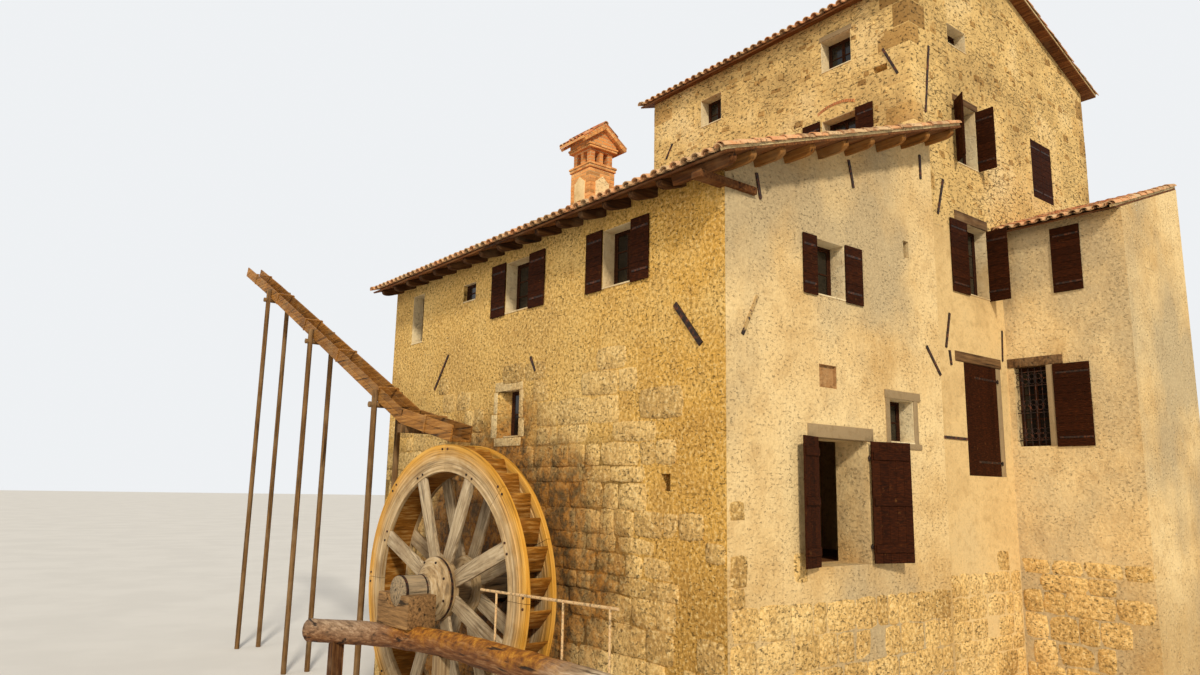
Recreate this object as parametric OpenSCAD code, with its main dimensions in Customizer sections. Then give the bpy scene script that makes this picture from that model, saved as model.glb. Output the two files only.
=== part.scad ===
// Watermill: a low mill house with an overshot wheel, a tall house behind it and a small wing.
// X runs along the yard wall, Y along the wheel wall, and Z is up from the bottom of the wheel pit.

/* [Mill house] */
// Length of the wheel wall, along Y
mill_length = 10600; // [10300:100:11500]
// Thickness of the mill house's walls
mill_wall_t = 600; // [500:10:650]
// Height of the roof boards' underside at the eave's edge
eave_height = 8720; // [8710:10:9100]
// How far the roof stands out past the walls
roof_overhang = 570; // [450:10:600]
// Pitch of every roof, in degrees
roof_pitch = 19.2; // [17:0.1:20]
// Distance between rafters
rafter_spacing = 632; // [600:4:700]
// Height of the yard door's threshold
yard_level = 3280; // [3200:10:3300]

/* [Tall house] */
// Width of the tall house, along X
house_width = 7600; // [7400:50:8000]
// Depth of the tall house, along Y
house_depth = 7280; // [7000:50:7400]
// Thickness of the tall house's walls
house_wall_t = 500; // [450:10:550]
// Height of the roof boards' underside at the eave's edge
house_eave_height = 14080; // [14000:10:14300]
// How far the tall roof stands out past the walls
house_overhang = 250; // [200:10:300]
// Height of the house door's threshold
house_level = 4700; // [4650:10:4800]

/* [Wing] */
// How far the wing stands out in front of the tall house
wing_length = 2290; // [2200:10:2600]
// Width of the wing, along X
wing_width = 3000; // [2800:50:3200]
// Height of the wing's roof boards at the eave's edge
wing_eave_height = 9560; // [9540:10:9600]

/* [Water wheel] */
// Outer radius of the wheel
wheel_r = 2415; // [2300:5:2420]
// Width of the wheel between its outer faces
wheel_w = 586; // [500:2:620]
// Depth of the two ring boards
rim_depth = 470; // [400:5:500]
// Number of buckets
bucket_count = 32; // [24:4:36]
// Number of spokes in each set
spoke_count = 8; // [6:2:10]
// Radius of the wooden shaft
shaft_r = 245; // [200:5:250]
// Turn of the axle away from square to the wall, in degrees
wheel_turn = 4.5; // [0:0.5:5]

/* [Flume] */
// Clear width of the trough
flume_w = 340; // [300:10:400]
// Height of the trough's sides
flume_h = 300; // [240:10:320]
// Thickness of the trough's boards
flume_board = 40; // [30:5:45]

/* [Doors] */
// Thickness of a door leaf
leaf_t = 50; // [40:5:60]
// How far the yard door's leaves stand open, in degrees
yard_door_open = 165; // [100:5:170]
// Width of the yard door's narrow left leaf
yard_leaf_left_w = 500; // [400:10:620]

/* [Hidden] */

eps = 1;
pitch_rise = tan(roof_pitch);
board_t = 40;
tile_bed = 90;
rafter_h = 150;
rafter_w = 120;
first_rafter_y = 770;
lookout_w = 130;
lookout_in = 380;
lookout_edges = [130, 750, 1430, 2250, 2950, 3850, 4600, 5390];
verge_end_x = 5520;
fly_edge = -270;
fly_in = 640;
round_fn = 64;

// Tall house box
house_x = 5405;
house_y = 290;
house_x2 = house_x + house_width;
house_y2 = house_y + house_depth;
house_ridge_x = house_x + house_width / 2;
ridge_gap = 5;
ridge_r = 130;

// Wing box
wing_x = 8400;
wing_x2 = wing_x + wing_width;
wing_y = house_y - wing_length;

// Floors: heights of their tops, and their thickness
floor_t = 220;
mill_floor_tops = [yard_level, 6500];
house_floor_tops = [house_level, 7250, 10000, 12600];
wing_floor_tops = [house_level, 7250];

// Openings, each as [first edge, second edge, bottom, top]
wheel_wall_windows = [[9170, 9700, 7450, 8560], [6880, 7380, 8040, 8420], [4900, 5720, 7560, 8560],
    [2010, 2740, 7530, 8520]];
pit_window = [5120, 5500, 5220, 6080];
pit_reveal_y = 5850;
pit_reveal_depth = 320;
pit_slit = [1090, 1290, 4310, 4555];
yard_window_up = [2000, 2715, 7300, 8200];
yard_window_low = [3795, 4485, 5150, 5865];
yard_loophole = [4405, 4565, 8340, 8640];
yard_door = [1850, 3160, yard_level, 5140];
yard_niche = [2010, 2430, 5890, 6240];
niche_depth = 60;
house_side_windows = [[1600, 2330, 12970, 13680], [5210, 5880, 12960, 13660], [1540, 2350, 11150, 11900]];
putlog_hole = [790, 1100, 12470, 12610];
putlog_depth = 220;
house_window_mid = [7080, 7860, 8150, 9580];
house_window_high = [6930, 7720, 10800, 12100];
house_window_dark = [10100, 11070, 10850, 12200];
house_window_attic = [6800, 7500, 13300, 13760];
house_door_gap = [6720, 7920, house_level, 6800];
wing_window_low = [-455, 170, 5300, 6850];
wing_window_up = [-1230, -740, 8260, 9380];

// Wheel frame: the middle of its near face, and its axle
wheel_face = [-1280, 5427, 2619];
rim_t = 80;
rim_in = wheel_r - rim_depth;
sole_t = 35;
hub_r = 520;
hub_flange = 110;
hub_nose = 300;
hub_nose_r = 255;
spoke_w = 270;
spoke_t = 60;
shaft_out = 770;
shaft_in = 1560;
journal_gap = 4;
shaft_hole_r = 330;

// Log beam: a trunk that lies along Y and bends away from the wall past its straight length
log_y0 = -400;
log_y1 = 7250;
log_bend_y = 3400;
log_r = 198;
log_rings = 18;
log_sides = 18;
seat_gap = 3;
bearing_seats = [5140, 5620];

// Flume: its middle plane, and its floor's underside as [y, z]
flume_x = -990;
flume_top = [19090, 10615];
flume_joint = [17020, 9740];
flume_foot = [7475, 5500];
spout_end = [5430, 5080];
trestle_r = 60;
trestle_ys = [8600, 12700, 16400];
bracket_y = 7300;

wing_overhang = 250;
// Distance up the mill roof's slope of a point at x on the rafters' underside
function mill_slope_x(x) = (x + roof_overhang - rafter_h * sin(roof_pitch)) / cos(roof_pitch);
// Middle of the log at y, its radius there, and its direction
function log_bend(y) = max(0, y - log_bend_y) / 1000;
function log_mid(y) = [-1630 - 0.018 * y - 66 * pow(log_bend(y), 2), y, 1950 - 9 * pow(log_bend(y), 2)];
function log_radius(y) = log_r + 9 * sin(y * 0.045 + 20);
function log_dir(y) = let (d = log_mid(y + 10) - log_mid(y - 10)) d / norm(d);
// Height of the flume's underside at y
function flume_z(y) = y < flume_foot[0]
    ? spout_end[1] + (y - spout_end[0]) * (flume_foot[1] - spout_end[1]) / (flume_foot[0] - spout_end[0])
    : flume_foot[1] + (y - flume_foot[0]) * (flume_joint[1] - flume_foot[1]) / (flume_joint[0] - flume_foot[0]);

plaster = "#d9b36c";
masonry = "#c9ac7c";
timber = "#8a5f38";
tile_red = "#b4693f";
shutter_brown = "#4a221a";
grey_stone = "#a39a86";
iron = "#3c3430";
wheel_wood = "#a8926a";
brick = "#c9743c";

// A box from its low corner to its high corner
module block(low, high) {
    translate(low) cube([high[0] - low[0], high[1] - low[1], high[2] - low[2]]);
}

// An opening through a wall that runs along Y
module hole_y(o, x0, x1) {
    block([x0 - eps, o[0], o[2]], [x1 + eps, o[1], o[3]]);
}

// An opening through a wall that runs along X
module hole_x(o, y0, y1) {
    block([o[0], y0 - eps, o[2]], [o[1], y1 + eps, o[3]]);
}

// An outline in X and Z, extruded from y0 to y1
module along_y(y0, y1) {
    translate([0, y1, 0]) rotate([90, 0, 0]) linear_extrude(y1 - y0) children();
}

// Places a child on the mill roof: +X runs up the slope, and the boards' underside is at Z = 0
module on_mill_roof() {
    translate([-roof_overhang, 0, eave_height]) rotate([0, -roof_pitch, 0]) children();
}

module below_mill_roof() {
    difference() {
        children();
        on_mill_roof() block([-1000, -2000, 0], [14000, 15000, 7000]);
    }
}

// Places a child on one half of the tall house, measured from the plane of its ridge
module house_half(side) {
    translate([house_ridge_x, 0, 0]) mirror([side, 0, 0]) children();
}

// Places a child on one slope of the tall roof
module on_house_roof(side) {
    house_half(side) translate([-house_width / 2 - house_overhang, 0, house_eave_height])
        rotate([0, -roof_pitch, 0]) children();
}

module below_house_roof() {
    difference() {
        children();
        for (side = [0, 1]) on_house_roof(side) block([-1000, -2000, 0], [9000, 12000, 7000]);
    }
}

// Places a child on the wing's roof
module on_wing_roof() {
    translate([wing_x - wing_overhang, 0, wing_eave_height]) rotate([0, -roof_pitch, 0]) children();
}

module below_wing_roof() {
    difference() {
        children();
        on_wing_roof() block([-1000, -5000, 0], [9000, 5000, 7000]);
    }
}

// A quarter of an ellipse from the bottom of a beam's end up to its tip
function nose(tip, run, low, high) = [for (a = [90:-15:0])
    [tip + run * (1 - cos(a)), high - (high - low) * sin(a)]];

module wheel_wall() {
    color(plaster) difference() {
        below_mill_roof() block([0, 0, 0], [mill_wall_t, mill_length, 11000]);
        for (o = wheel_wall_windows) hole_y(o, 0, mill_wall_t);
        hole_y(pit_window, 0, mill_wall_t);
        pit_reveal();
        hole_y(pit_slit, 0, mill_wall_t);
        wheel_place() translate([0, 0, -3000]) cylinder(r = shaft_hole_r, h = 3000, $fn = round_fn);
        rafter_seats();
        lookout_seats();
        bracket_beam();
        flume_bracket();
    }
}

// The pit window's left side splays out to the wall's face
module pit_reveal() {
    translate([0, 0, pit_window[2]]) linear_extrude(pit_window[3] - pit_window[2])
        polygon([[-eps, pit_window[0]], [-eps, pit_reveal_y], [pit_reveal_depth, pit_window[1]],
            [pit_reveal_depth, pit_window[0]]]);
}

module yard_wall_part(x0, x1, z0) {
    difference() {
        below_mill_roof() block([x0, 0, z0], [x1, mill_wall_t, 11500]);
        lookout_seats();
        stone_set();
        door_pintles();
    }
}

module yard_wall_base() {
    color(plaster) block([mill_wall_t, 0, 0], [house_x, mill_wall_t, yard_door[2]]);
}

module yard_wall_left() {
    color(plaster) yard_wall_part(mill_wall_t, yard_door[0], yard_door[2]);
}

module yard_wall_over() {
    color(plaster) difference() {
        yard_wall_part(yard_door[0], yard_door[1], yard_door[3]);
        hole_x(yard_window_up, 0, mill_wall_t);
        hole_x(yard_niche, 0, niche_depth - eps);
    }
}

module yard_wall_right() {
    color(plaster) difference() {
        yard_wall_part(yard_door[1], house_x, yard_door[2]);
        hole_x(yard_window_low, 0, mill_wall_t);
        hole_x(yard_loophole, 0, mill_wall_t);
    }
}

module mill_end_wall() {
    color(plaster) difference() {
        below_mill_roof() block([mill_wall_t, mill_length - mill_wall_t, 0], [house_x, mill_length, 11500]);
        rafter_seats();
    }
}

module mill_back_wall() {
    color(plaster) difference() {
        below_mill_roof() block([house_x, house_y2, 0], [house_x + mill_wall_t, mill_length, 11500]);
        rafter_seats();
    }
}

module mill_floors() {
    color(timber) for (z = concat([floor_t], mill_floor_tops))
        block([mill_wall_t, mill_wall_t, z - floor_t], [house_x, mill_length - mill_wall_t, z]);
}

// Rafters run down the slope and stand out past the wheel wall as tails with rounded ends
function rafter_ys() = [for (y = [first_rafter_y:rafter_spacing:mill_length - 200]) y];

module rafter_seats() {
    on_mill_roof() for (y = rafter_ys())
        block([300, y, -rafter_h], [8000, y + rafter_w, 1]);
}

module tall_house_box() {
    block([house_x, house_y, 0], [house_x2, house_y2, 20000]);
}

module mill_rafters() {
    back = (house_x + mill_wall_t + roof_overhang) / cos(roof_pitch);
    color(timber) difference() {
        on_mill_roof() for (y = rafter_ys())
            along_y(y, y + rafter_w)
                polygon(concat(nose(60, 220, -rafter_h, -60), [[60, 0], [back, 0], [back, -rafter_h]]));
        tall_house_box();
    }
}

// Short beams that carry the verge, bedded in the yard wall
module verge_beam(x, y0, y1) {
    on_mill_roof() along_x(mill_slope_x(x) - lookout_w, mill_slope_x(x))
        polygon(concat(nose(y0, 200, -rafter_h, -60), [[y0, 0], [y1, 0], [y1, -rafter_h]]));
}

module lookout_seats() {
    for (x = lookout_edges)
        on_mill_roof() block([mill_slope_x(x) - lookout_w, -200, -rafter_h], [mill_slope_x(x), lookout_in, 1]);
}

module verge_lookouts() {
    color(timber) for (x = lookout_edges) verge_beam(x, -510, lookout_in);
}

// At the corner, a beam along the eave rests on a bracket beam bedded in the wall
module bracket_beam() {
    difference() {
        block([-550, -70, 8540], [600, 110, 8650]);
        verge_beam(fly_edge, -510, fly_in);
    }
}

module corner_beams() {
    color(timber) {
        verge_beam(fly_edge, -510, fly_in);
        bracket_beam();
    }
}

// A layer of the mill roof: up to the tall house, and past its front and back corners
module mill_roof_layer(low, high, out) {
    front = (verge_end_x + roof_overhang) / cos(roof_pitch);
    back = (house_x + mill_wall_t + 70 + roof_overhang) / cos(roof_pitch);
    difference() {
        on_mill_roof() translate([0, 0, low]) linear_extrude(high - low)
            polygon([[-out, -roof_overhang], [front, -roof_overhang], [front, house_y + 500],
                [back, house_y + 500], [back, mill_length + 70], [-out, mill_length + 70]]);
        tall_house_box();
    }
}

module mill_roof_boards() {
    color(timber) mill_roof_layer(0, board_t, 0);
}

module mill_roof_tiles() {
    color(tile_red) difference() {
        mill_roof_layer(board_t, board_t + tile_bed, 40);
        chimney_box();
    }
}

// Chimney: its middle, and the widths and heights of its parts
chimney_mid = [620, 3880];
chimney_w = 560;
chimney_wall = 130;
chimney_band = [600, 10000, 10100];
lantern_w = 500;
lantern_top = 10370;
lantern_slot = [110, 10130, 10340];
chimney_head = [620, 10440];
chimney_gable = [620, 150.6, 380];
chimney_eave_out = 500;
panel = [300, 9420, 330, 120, 18];

// A square block around the chimney's middle
module chimney_square(w, z0, z1) {
    block([chimney_mid[0] - w / 2, chimney_mid[1] - w / 2, z0], [chimney_mid[0] + w / 2, chimney_mid[1] + w / 2, z1]);
}

module chimney_box() {
    chimney_square(chimney_w, 8000, chimney_band[1]);
}

module chimney_stack() {
    color(brick) difference() {
        union() {
            chimney_box();
            chimney_square(chimney_band[0], chimney_band[1], chimney_band[2]);
        }
        chimney_square(chimney_w - 2 * chimney_wall, 7900, 11000);
        on_mill_roof() block([0, 3000, -3000], [3000, 5000, board_t]);
    }
}

// Panels with pointed tops on the stack's four faces
module chimney_panels() {
    half = panel[0] / 2;
    top = panel[2] + panel[3];
    color(plaster) for (a = [0:90:270])
        translate([chimney_mid[0], chimney_mid[1], panel[1]]) rotate([0, 0, a])
            along_y(-chimney_w / 2 - panel[4], -chimney_w / 2)
                polygon([[-half, 0], [half, 0], [half, panel[2]], [0, top], [-half, panel[2]]]);
}

module chimney_lantern() {
    color(brick) difference() {
        union() {
            chimney_square(lantern_w, chimney_band[2], lantern_top);
            chimney_square(chimney_head[0], lantern_top, chimney_head[1]);
        }
        chimney_square(lantern_w - 220, chimney_band[2] - eps, lantern_top);
        for (a = [0, 90]) for (side = [-1, 1])
            translate([chimney_mid[0], chimney_mid[1], 0]) rotate([0, 0, a]) translate([side * lantern_slot[0] * 0.85, 0, 0])
                block([-lantern_slot[0] / 2, -lantern_w, lantern_slot[1]], [lantern_slot[0] / 2, lantern_w, lantern_slot[2]]);
    }
}

// A small gabled cap: a block with a pointed top under two sloping slabs
module chimney_roof() {
    half = chimney_gable[0] / 2;
    eave_z = chimney_gable[2] - chimney_eave_out * (chimney_gable[2] - chimney_gable[1]) / half;
    color(tile_red) translate([chimney_mid[0], chimney_mid[1], chimney_head[1]]) {
        along_y(-290, 290)
            polygon([[-half, 0], [half, 0], [half, chimney_gable[1]], [0, chimney_gable[2]], [-half, chimney_gable[1]]]);
        along_y(-360, 360)
            polygon([[-chimney_eave_out, eave_z], [0, chimney_gable[2]], [chimney_eave_out, eave_z],
                [chimney_eave_out, eave_z + 55], [0, chimney_gable[2] + 55], [-chimney_eave_out, eave_z + 55]]);
    }
}

// A part of the tall house's wall under its roof
module house_part(low, high) {
    below_house_roof() block([low[0], low[1], low[2]], [high[0], high[1], 17000]);
}

module house_left_wall() {
    color(masonry) difference() {
        house_part([house_x, house_y, 0], [house_x + house_wall_t, house_y2]);
        for (o = house_side_windows) hole_y(o, house_x, house_x + house_wall_t);
        hole_y(putlog_hole, house_x, house_x + putlog_depth);
        stone_set();
        arch_ring();
    }
}

// A shallow relieving arch of bricks over the window just above the mill roof
module arch_ring() {
    mid_z = 11130;
    r = 1095;
    band = 60;
    intersection() {
        translate([house_x - arch_out, 2000, mid_z]) rotate([0, 90, 0]) difference() {
            cylinder(r = r, h = arch_out + arch_depth, $fn = 128);
            translate([0, 0, -eps]) cylinder(r = r - band, h = arch_out + arch_depth + 2 * eps, $fn = 128);
        }
        block([house_x - 100, 1550, 11950], [house_x + arch_depth + 100, 2450, mid_z + r + 10]);
    }
}

module brick_arch() {
    color(brick) arch_ring();
}

module house_yard_part(x0, x1, z0) {
    difference() {
        house_part([x0, house_y, z0], [x1, house_y + house_wall_t]);
        lintel_set();
        stone_set();
        door_pintles();
    }
}

module house_yard_base() {
    color(masonry) block([house_x + house_wall_t, house_y, 0],
        [house_x2 - house_wall_t, house_y + house_wall_t, house_level]);
}

module house_yard_left() {
    color(masonry) house_yard_part(house_x + house_wall_t, house_door_gap[0], house_level);
}

module house_yard_over() {
    color(masonry) difference() {
        house_yard_part(house_door_gap[0], house_door_gap[1], house_door_gap[3]);
        hole_x(house_window_mid, house_y, house_y + house_wall_t);
        hole_x(house_window_high, house_y, house_y + house_wall_t);
        hole_x(house_window_attic, house_y, house_y + house_wall_t);
    }
}

module house_yard_right() {
    color(masonry) difference() {
        house_yard_part(house_door_gap[1], house_x2 - house_wall_t, house_level);
        hole_x(house_window_dark, house_y, house_y + house_wall_t);
    }
}

module house_back_wall() {
    color(masonry) house_part([house_x + house_wall_t, house_y2 - house_wall_t, 0], [house_x2 - house_wall_t, house_y2]);
}

module house_right_wall() {
    color(masonry) house_part([house_x2 - house_wall_t, house_y, 0], [house_x2, house_y2]);
}

module house_floors() {
    color(timber) for (z = house_floor_tops)
        block([house_x + house_wall_t, house_y + house_wall_t, z - floor_t],
            [house_x2 - house_wall_t, house_y2 - house_wall_t, z]);
}

// A layer of the tall roof: each slope is a slab that ends just short of the ridge
module house_roof_layer(low, high, out) {
    for (side = [0, 1]) difference() {
        on_house_roof(side) block([-out, house_y - house_overhang, low], [6000, house_y2 + house_overhang, high]);
        house_half(side) block([-ridge_gap, -1000, 10000], [6000, 12000, 20000]);
    }
}

module house_roof_boards() {
    color(timber) house_roof_layer(0, board_t, 0);
}

module house_roof_tiles() {
    color(tile_red) house_roof_layer(board_t, board_t + tile_bed, 30);
}

// Ridge tiles: a round cap seated on both slopes
module house_ridge() {
    half = house_width / 2 + house_overhang;
    top_z = house_eave_height + half * pitch_rise + (board_t + tile_bed) / cos(roof_pitch);
    y0 = house_y - house_overhang;
    color(tile_red) difference() {
        translate([house_ridge_x, y0, top_z - 30]) rotate([-90, 0, 0])
            cylinder(r = ridge_r, h = house_y2 + house_overhang - y0, $fn = round_fn);
        for (side = [0, 1]) intersection() {
            on_house_roof(side) block([0, -1000, -3000], [9000, 12000, board_t + tile_bed]);
            house_half(side) block([-6000, -1000, 10000], [0, 12000, 20000]);
        }
    }
}

module wing_front_wall() {
    color(plaster) difference() {
        below_wing_roof() block([wing_x, wing_y, 0], [wing_x + house_wall_t, house_y, 12000]);
        hole_y(wing_window_low, wing_x, wing_x + house_wall_t);
        hole_y(wing_window_up, wing_x, wing_x + house_wall_t);
        lintel_set();
        stone_set();
    }
}

// Plain walls towards the neighbouring house
module wing_party_walls() {
    color(plaster) below_wing_roof() difference() {
        block([wing_x + house_wall_t, wing_y, 0], [wing_x2, house_y, 12000]);
        block([wing_x, wing_y + 300, -eps], [wing_x2 - 300, house_y + eps, 12000 + eps]);
    }
}

module wing_floors() {
    color(timber) for (z = wing_floor_tops)
        block([wing_x + house_wall_t, wing_y + 300, z - floor_t], [wing_x2 - 300, house_y, z]);
}

module wing_roof() {
    color(tile_red) difference() {
        on_wing_roof() block([0, wing_y, 0], [6000, house_y, board_t + tile_bed]);
        block([wing_x2, wing_y - 1000, 0], [wing_x2 + 5000, house_y + 1000, 20000]);
    }
}

lintel_out = 20;
lintel_depth = 240;
stone_out = 15;
arch_out = 8;
arch_depth = 150;
hinge_out = 25;
door_gap = 8;
shutter_t = 35;
pin_r = 8;
eye_r = 16;
strap_in = 260;

// Lintels bedded in the tall house's and the wing's walls
module lintel_set() {
    y0 = house_y - lintel_out;
    y1 = house_y + lintel_depth;
    block([6680, y0, house_window_mid[3]], [7905, y1, 9780]);
    block([6850, y0, house_window_high[3]], [7800, y1, 12240]);
    block([6430, y0, house_door_gap[3]], [8110, y1, 6990]);
    block([wing_x - lintel_out, -770, wing_window_low[3]], [wing_x + lintel_depth, 286, 7030]);
}

module timber_lintels() {
    color(timber) lintel_set();
}

// Dressed stones bedded in the walls: lintels, jambs and a post
module stone_set() {
    block([1700, -lintel_out, yard_door[3]], [3300, lintel_depth, 5330]);
    block([3670, -lintel_out, yard_window_low[3]], [4680, lintel_depth, 6000]);
    block([3690, -stone_out, yard_window_low[2]], [yard_window_low[0], lintel_depth, yard_window_low[3]]);
    block([yard_window_low[1], -stone_out, yard_window_low[2]], [4600, lintel_depth, yard_window_low[3]]);
    block([3670, -lintel_out, 5060], [4680, lintel_depth, yard_window_low[2]]);
    block([house_door_gap[1], house_y, house_level], [8090, house_y + lintel_depth, house_door_gap[3]]);
    block([house_x - stone_out, 1570, 13680], [house_x + lintel_depth, 2360, 13780]);
    block([wing_x - stone_out, -570, wing_window_low[2]], [wing_x + lintel_depth, wing_window_low[0], wing_window_low[3]]);
}

module stone_trim() {
    color(grey_stone) difference() {
        stone_set();
        door_pintles();
    }
}

// A pair of leaves folded back flat beside an opening in a wall that runs along Y
module shutter_pair_y(o, w, x) {
    for (s = [[o[0] - w, o[0]], [o[1], o[1] + w]])
        block([x - shutter_t, s[0], o[2] - 20], [x, s[1], o[3] + 20]);
}

// A leaf that stands out from a wall along X at an angle, its edge cut to sit flat on the wall
module turned_leaf(x, y, angle, w, z0, z1) {
    difference() {
        translate([x, y, z0]) rotate([0, 0, angle]) block([-w, -shutter_t, 0], [30, 0, z1 - z0]);
        block([x - 400, y, z0 - eps], [x + 400, y + 200, z1 + eps]);
    }
}

module shutters() {
    high = house_window_high;
    mid = house_window_mid;
    dark = house_window_dark;
    dark_mid = (dark[0] + dark[1]) / 2;
    color(shutter_brown) {
        shutter_pair_y(wheel_wall_windows[2], 500, 0);
        shutter_pair_y(wheel_wall_windows[3], 430, 0);
        block([yard_window_up[0] - 330, -shutter_t, 7280], [yard_window_up[0], 0, 8220]);
        block([yard_window_up[1], -shutter_t, 7280], [yard_window_up[1] + 445, 0, 8220]);
        block([6470, house_y - shutter_t, 8130], [6675, house_y, 9600]);
        block([6675, house_y - shutter_t, 8130], [mid[0], house_y, mid[3] - 4]);
        block([mid[1], house_y - 420, 8130], [mid[1] + shutter_t, house_y, mid[3] - 4]);
        turned_leaf(high[0] - 46, house_y, 50, 395, high[2], high[3] - 4);
        block([high[1], house_y - 380, high[2]], [high[1] + shutter_t, house_y, high[3] - 4]);
        block([dark[0], house_y + 5, dark[2]], [dark_mid - 3, house_y + 40, dark[3]]);
        block([dark_mid + 3, house_y + 5, dark[2]], [dark[1], house_y + 40, dark[3]]);
        block([house_x - shutter_t, 1130, 11050], [house_x, 1530, 11930]);
        block([house_x - shutter_t, 2390, 11050], [house_x, 2835, 11930]);
        block([wing_x - shutter_t, -1240, 5280], [wing_x, -580, wing_window_low[3] - 4]);
        block([wing_x - shutter_t, -1255, 8220], [wing_x, -715, 9500]);
    }
}

module window_grille() {
    gap = (wing_window_low[1] - wing_window_low[0]) / 5;
    color(iron) for (i = [1:4])
        translate([wing_x + 60, wing_window_low[0] + gap * i, wing_window_low[2]])
            cylinder(r = 8, h = wing_window_low[3] - wing_window_low[2], $fn = 24);
}

// Iron bars flat on the walls, each from one end to the other as [along, z, along, z]
wheel_wall_bars = [[7885, 7020, 8429, 6327], [4778, 6637, 4601, 6366], [988, 6991, 475, 6364]];
yard_wall_bars = [[643, 7061, 323, 6471], [656, 8903, 735, 8524], [2905, 9699, 3016, 9245],
    [5045, 10361, 5040, 9905], [4971, 6860, 5380, 6390]];
house_left_bars = [[868, 12923, 562, 12285], [6879, 12880, 7102, 12542]];
house_yard_bars = [[6324, 10302, 6075, 9558], [6300, 7675, 6120, 7009], [6230, 6971, 6272, 6696],
    [6052, 12973, 5822, 11527], [5870, 5360, 6690, 5360]];
bar_w = 50;
bar_t = 22;

function bar_angle(b) = atan2(b[3] - b[1], b[2] - b[0]);
function bar_length(b) = norm([b[2] - b[0], b[3] - b[1]]);

module bars_x(set, y) {
    for (b = set) translate([b[0], y, b[1]]) rotate([0, -bar_angle(b), 0])
        block([0, -bar_t, -bar_w / 2], [bar_length(b), 0, bar_w / 2]);
}

module bars_y(set, x) {
    for (b = set) translate([x, b[0], b[1]]) rotate([bar_angle(b), 0, 0])
        block([-bar_t, 0, -bar_w / 2], [0, bar_length(b), bar_w / 2]);
}

module wall_anchors() {
    color(iron) {
        bars_y(wheel_wall_bars, 0);
        bars_x(yard_wall_bars, 0);
        bars_y(house_left_bars, house_x);
        bars_x(house_yard_bars, house_y);
    }
}

// Places a child at a door's hinge line: +X towards its leaf, +Y into the wall, the face at hinge_out
module at_hinge(x, y, side) {
    translate([x, y - hinge_out, 0]) mirror([side < 0 ? 1 : 0, 0, 0]) children();
}

// The two pins of a door, on brackets bedded in the wall
module pintle_pair(x, y, side, z0, z1) {
    at_hinge(x, y, side) for (z = [z0 + strap_in, z1 - strap_in]) translate([0, 0, z]) {
        translate([0, 0, -44]) cylinder(r = pin_r, h = 80, $fn = 32);
        block([-26, -6, -44], [0, 6, -24]);
        block([-26, -6, -44], [-14, hinge_out + 60, -24]);
    }
}

module door_pintles() {
    color(iron) {
        pintle_pair(yard_door[0], 0, 1, yard_door[2], yard_door[3]);
        pintle_pair(yard_door[1], 0, -1, yard_door[2], yard_door[3]);
        pintle_pair(house_door_gap[1], house_y, -1, house_door_gap[2], house_door_gap[3]);
    }
}

// A door leaf with two strap hinges whose eyes turn on the pins
module leaf(x, y, side, open, w, z0, z1) {
    at_hinge(x, y, side) rotate([0, 0, -open]) difference() {
        union() {
            block([door_gap, hinge_out, z0 + door_gap], [door_gap + w, hinge_out + leaf_t, z1 - door_gap]);
            for (z = [z0 + strap_in, z1 - strap_in]) translate([0, 0, z]) {
                translate([0, 0, -20]) cylinder(r = eye_r, h = 40, $fn = 32);
                block([6, 8, -20], [20, hinge_out, 20]);
                block([door_gap, hinge_out - 6, -20], [w * 0.7, hinge_out, 20]);
            }
        }
        for (z = [z0 + strap_in, z1 - strap_in])
            translate([0, 0, z - 40]) cylinder(r = pin_r + 1, h = 80, $fn = 32);
    }
}

module yard_door_left() {
    color(shutter_brown) leaf(yard_door[0], 0, 1, yard_door_open, yard_leaf_left_w, yard_door[2], yard_door[3]);
}

module yard_door_right() {
    w = yard_door[1] - yard_door[0] - yard_leaf_left_w - 4 * door_gap;
    color(shutter_brown) leaf(yard_door[1], 0, -1, yard_door_open, w, yard_door[2], yard_door[3]);
}

module house_door() {
    w = house_door_gap[1] - house_door_gap[0] - 2 * door_gap;
    color(shutter_brown) leaf(house_door_gap[1], house_y, -1, 0, w, house_door_gap[2], house_door_gap[3]);
}

// Places a child whose +Z is the axle, out towards the wheel's near side
module wheel_place() {
    translate(wheel_face) rotate([0, 0, wheel_turn]) rotate([0, -90, 0]) children();
}

module ring(r_out, r_in, t) {
    difference() {
        cylinder(r = r_out, h = t, $fn = 128);
        translate([0, 0, -eps]) cylinder(r = r_in, h = t + 2 * eps, $fn = 128);
    }
}

module wheel_rings() {
    color(wheel_wood) wheel_place() {
        translate([0, 0, -rim_t]) ring(wheel_r, rim_in, rim_t);
        translate([0, 0, -wheel_w]) ring(wheel_r, rim_in, rim_t);
    }
}

module wheel_sole() {
    color(wheel_wood) wheel_place() translate([0, 0, -wheel_w + rim_t])
        ring(rim_in + sole_t, rim_in, wheel_w - 2 * rim_t);
}

// The far hub is a plain disc; the near one ends in a flange and a cone
module wheel_hubs() {
    color(wheel_wood) wheel_place() {
        translate([0, 0, -wheel_w]) ring(hub_r, shaft_r, rim_t);
        rotate_extrude($fn = 128)
            polygon([[shaft_r, -rim_t], [hub_r, -rim_t], [hub_r, hub_flange], [hub_nose_r, hub_nose], [shaft_r, hub_nose]]);
    }
}

// Planks from the hubs to the inner edge of each ring
module wheel_spokes() {
    side = (rim_t - spoke_t) / 2;
    color(wheel_wood) wheel_place() for (z = [-rim_t + side, -wheel_w + side]) for (i = [0:spoke_count - 1])
        translate([0, 0, z]) rotate((i + 0.5) * 360 / spoke_count) difference() {
            intersection() {
                translate([0, -spoke_w / 2, 0]) cube([wheel_r, spoke_w, spoke_t]);
                translate([0, 0, -eps]) cylinder(r = rim_in, h = spoke_t + 2 * eps, $fn = 256);
            }
            translate([0, 0, -eps]) cylinder(r = hub_r + 1, h = spoke_t + 2 * eps, $fn = 256);
        }
}

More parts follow.
